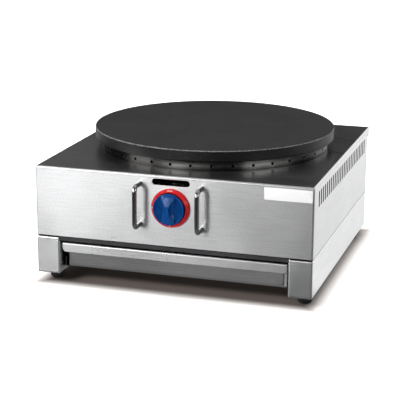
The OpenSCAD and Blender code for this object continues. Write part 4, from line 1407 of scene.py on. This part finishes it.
@dataclass
class Studio:
    """Pale floor, white surround, soft lamps, and the cards that the metal mirrors."""

    floor_radius: float = 14.0
    floor_steps: int = 96
    floor_colour: Colour = (0.90, 0.89, 0.88)
    floor_rough: float = 0.9
    # Painted shadow: the floor's colour darkens under the object, and its glow weakens and warms towards the
    # object's outline.
    shadow_colour: Colour = (0.185, 0.155, 0.14)
    shadow_reach: Pair = (-0.02, 0.012)
    white: Colour = (1.0, 1.0, 1.0)
    warm: Colour = (1.0, 0.91, 0.86)
    warm_reach: Pair = (0.2, 0.9)
    footprint: Stops = ((0.0, 0.2265), (0.0125, 0.2275))
    floor_stops: Stops = ((-0.014, 0.0), (0.0, 0.26), (0.012, 0.62), (0.03, 0.85), (0.3, 1.0))
    ambient: float = 0.22
    cards: tuple[Card, ...] = (
        Card("left_floor_card", (-2.5, -2.2, 0.0015), (0.23, 2.2, 0.0015), 1,
             ((-2.2, 0.03), (-0.62, 0.05), (-0.45, 0.20), (-0.22, 0.20), (-0.14, 0.10), (0.04, 0.48),
              (0.7, 0.52), (2.2, 0.6))),
        Card("right_floor_card", (0.23, -2.2, 0.0015), (2.5, 2.2, 0.0015), 1,
             ((-2.2, 0.03), (-0.62, 0.05), (-0.45, 0.20), (-0.22, 0.20), (-0.10, 0.92), (0.1, 0.86),
              (0.5, 0.88), (1.0, 1.0))),
        Card("post_card", (0.16, -0.42, 0.0020), (0.30, -0.2165, 0.0020), 1, ((-0.42, 0.1), (-0.2165, 0.05))),
        Card("rear_card", (-2.7, 2.6, 0.0), (0.4, 2.6, 2.4), 0,
             ((-2.7, 0.2), (-1.3, 0.16), (-1.0, 0.07), (-0.7, 0.05), (0.0, 0.06), (0.3, 0.95))),
        Card("left_card", (-2.7, -2.6, 0.0), (-2.7, 2.6, 2.4), 1, ((-2.6, 0.05), (1.0, 0.06), (2.6, 0.2))),
        Card("right_card", (2.7, -2.6, 0.0), (2.7, 2.4, 2.4), 1, ((-2.6, 0.05), (1.6, 0.06), (2.4, 0.5))),
        Card("front_card", (-2.7, -2.6, 0.0), (2.7, -2.6, 2.4), 0, ((-2.7, 0.05), (2.7, 0.05))),
        Card("ceiling_card", (-2.7, -2.6, 2.35), (2.7, 2.6, 2.35), 1,
             ((-2.6, 0.10), (-1.2, 0.14), (-0.3, 0.62), (0.9, 0.70), (1.7, 0.25), (2.6, 0.10))),
        Card("window", (-2.3, -2.1, 0.25), (-2.3, -0.7, 1.7), 1, ((-2.1, 0.8), (-0.7, 1.0)), 6.0),
        Card("right_window", (2.3, -2.2, 0.55), (2.3, -0.5, 1.35), 1, ((-2.2, 1.0), (-0.5, 0.6)), 3.5),
        Card("soft_box", (-2.0, -2.4, 0.12), (0.6, -2.4, 1.5), 0,
             ((-2.0, 0.0), (-1.6, 0.75), (-1.15, 1.0), (-0.85, 0.96), (-0.5, 0.46), (-0.27, 0.26),
              (0.1, 0.18), (0.6, 0.0)), 5.0),
    )
    lamps: tuple[Lamp, ...] = (
        Lamp("key_lamp", (-1.25, -1.15, 1.05), (0.0, 0.0, 0.12), (0.6, 0.6), 7.0),
        Lamp("top_lamp", (0.0, 0.1, 2.1), (0.0, 0.0, 0.2), (1.1, 1.1), 30.0, False),
        Lamp("side_lamp", (1.9, -0.2, 0.9), (0.1, 0.0, 0.15), (0.8, 1.0), 2.0),
        Lamp("front_lamp", (-1.3, -2.2, 1.7), (0.0, 0.0, 0.12), (0.9, 0.9), 52.0, False),
    )

    def seen(self, tree: bpy.types.NodeTree) -> Socket:
        """Tells the rays of the camera, of gloss and of glass from the rest.

        Args:
            tree: Where the nodes go.

        Returns:
            1 for those rays and 0 for the rest.
        """
        path = tree.nodes.new("ShaderNodeLightPath")
        total = path.outputs["Is Camera Ray"]
        for name in ("Is Glossy Ray", "Is Transmission Ray"):
            node = tree.nodes.new("ShaderNodeMath")
            node.operation = "MAXIMUM"
            tree.links.new(total, node.inputs[0])
            tree.links.new(path.outputs[name], node.inputs[1])
            total = node.outputs[0]
        return total

    def off_object(self, bench: Bench) -> Socket:
        """Gives the distance on the floor from the outline of the object.

        Args:
            bench: Node tree of the floor.

        Returns:
            The distance in metres, below 0 under the object.
        """
        gaps = []
        for index, (middle, half) in enumerate(self.footprint):
            aside = bench.calc("ABSOLUTE", bench.calc("SUBTRACT", bench.axis(index), middle))
            gaps.append(bench.calc("SUBTRACT", aside, half))
        squares = [bench.calc("POWER", bench.most(gap, 0.0), 2.0) for gap in gaps]
        outside = bench.calc("SQRT", bench.plus(*squares))
        return bench.plus(outside, bench.calc("MINIMUM", bench.most(*gaps), 0.0))

    def lay_floor(self) -> bpy.types.Object:
        """Makes the pale floor, which keeps the rendered shadow, adds a painted shadow round the outline of the
        object, and fades to white away from it.

        Returns:
            The floor.
        """
        bench = Bench("pale_floor")
        off = self.off_object(bench)
        away = bench.ramp(off, self.floor_stops)
        glow = bench.nodes.new("ShaderNodeEmission")
        bench.wire(bench.times(away, self.seen(bench.material.node_tree)), glow.inputs["Strength"])
        tint = bench.blend(bench.span(away, *self.warm_reach), self.warm, self.white)
        bench.wire(tint, glow.inputs["Color"])
        both = bench.nodes.new("ShaderNodeAddShader")
        bench.wire(bench.surface.outputs[0], both.inputs[0])
        bench.wire(glow.outputs[0], both.inputs[1])
        bench.show(both.outputs[0])
        base = bench.blend(bench.span(off, *self.shadow_reach), self.shadow_colour, self.floor_colour)
        bench.wire(base, "Base Color")
        bench.fix(Roughness=self.floor_rough, Specular_IOR_Level=0.0)
        bm = bmesh.new()
        bmesh.ops.create_circle(bm, cap_ends=True, segments=self.floor_steps, radius=self.floor_radius)
        floor = put("floor", mesh_of("floor", bm, bench.material))
        return floor

    def light(self) -> None:
        """Makes the surround, hangs the lamps and sets up the cards."""
        world = bpy.data.worlds.new("studio")
        world.use_nodes = True
        tree = world.node_tree
        strength = tree.nodes.new("ShaderNodeMapRange")
        strength.inputs["To Min"].default_value = self.ambient
        strength.inputs["To Max"].default_value = 1.0
        tree.links.new(self.seen(tree), strength.inputs["Value"])
        background = tree.nodes["Background"]
        background.inputs["Color"].default_value = (*self.white, 1.0)
        tree.links.new(strength.outputs["Result"], background.inputs["Strength"])
        bpy.context.scene.world = world
        for lamp in self.lamps:
            lamp.hang()
        for card in self.cards:
            card.set_up()
        bpy.context.scene.view_settings.view_transform = "Standard"


FINISHES: dict[Slot, Finish] = {
    Slot.TOP_SHEET: TopSheet("top_sheet"),
    Slot.PANEL: CasingSteel("panel_steel"),
    # Painted reflection: the plinth sheet is paler than the casing sheet, for the bright floor it mirrors.
    Slot.PLINTH: PlinthSteel("plinth_steel", (0.88, 0.885, 0.89), 0.235),
    Slot.DRAWER: DrawerSteel("drawer_steel", (0.70, 0.702, 0.705), 0.22),
    Slot.RING: ShadedStrip("ring_steel"),
    # Painted shade: the deck and the runners are a near-black sheet, standing for the shade in the gap above
    # the drawer.
    Slot.DECK: PlatedSteel("deck_steel", (0.13, 0.13, 0.134), 0.42, 180.0),
    Slot.BRACKET: PlatedSteel("bracket_steel"),
    Slot.FASTENER: PlatedSteel("fastener_steel", (0.62, 0.62, 0.63), 0.28, 600.0),
    Slot.HANDLE: PolishedBar("handle_chrome"),
    Slot.PLATE: SeasonedPlate("cast_plate"),
    Slot.BURNER: RoughCasting("burner_iron"),
    Slot.BRASS: TurnedBrass("tap_brass"),
    Slot.COPPER: TurnedBrass("pipe_copper", (0.70, 0.33, 0.18), (0.22, 0.09, 0.05)),
    Slot.RUBBER: MouldedRubber("foot_rubber"),
    Slot.DIAL: GlossPlastic("dial_red", (0.56, 0.012, 0.014), 0.2, 0.25 * MM),
    Slot.KNOB: KnobPlastic("knob_blue"),
}
DIAL_INK = PrintedInk("white_ink")
LABEL_FILM = PrintedInk("label_white", (0.92, 0.92, 0.92), 0.03)


@dataclass
class Wardrobe:
    """All the finishes of the record, each made once."""

    made: dict[Slot, bpy.types.Material] = field(default_factory=dict)

    def of(self, slot: Slot) -> bpy.types.Material:
        """Gives the material of a slot.

        Args:
            slot: The slot.

        Returns:
            Its material, made when it is first asked for.
        """
        if slot not in self.made:
            self.made[slot] = FINISHES[slot].make()
        return self.made[slot]

    def dress_solids(self) -> None:
        """Gives every solid of the frame the finish of its slot."""
        for row in frame["record"]["subparts"]:
            solid = frame["nodes"][row["node"]]
            solid.data.materials.clear()
            solid.data.materials.append(self.of(Slot(row["material_slot"])))
            LOG.info("solid %s wears %s", row["node"], row["material_slot"])


def main() -> None:
    """Builds the camera, the studio, the finishes and the pieces in order."""
    logging.basicConfig(level=logging.INFO, format="%(name)s: %(message)s")
    PhotoCamera().set_up()
    studio = Studio()
    studio.lay_floor()
    studio.light()
    wardrobe = Wardrobe()
    wardrobe.dress_solids()
    ink = DIAL_INK.make()
    Casing().build_label(LABEL_FILM.make())
    dial = Dial()
    dial.build_word("OFF", 0.0, ink)
    for name, size, turn in dial.flames:
        dial.build_flame(name, size, turn, ink)
    GasTap().build_spring(wardrobe.of(Slot.FASTENER))
    GasInlet().build(wardrobe.of(Slot.BRASS))


if __name__ == "__main__":
    main()
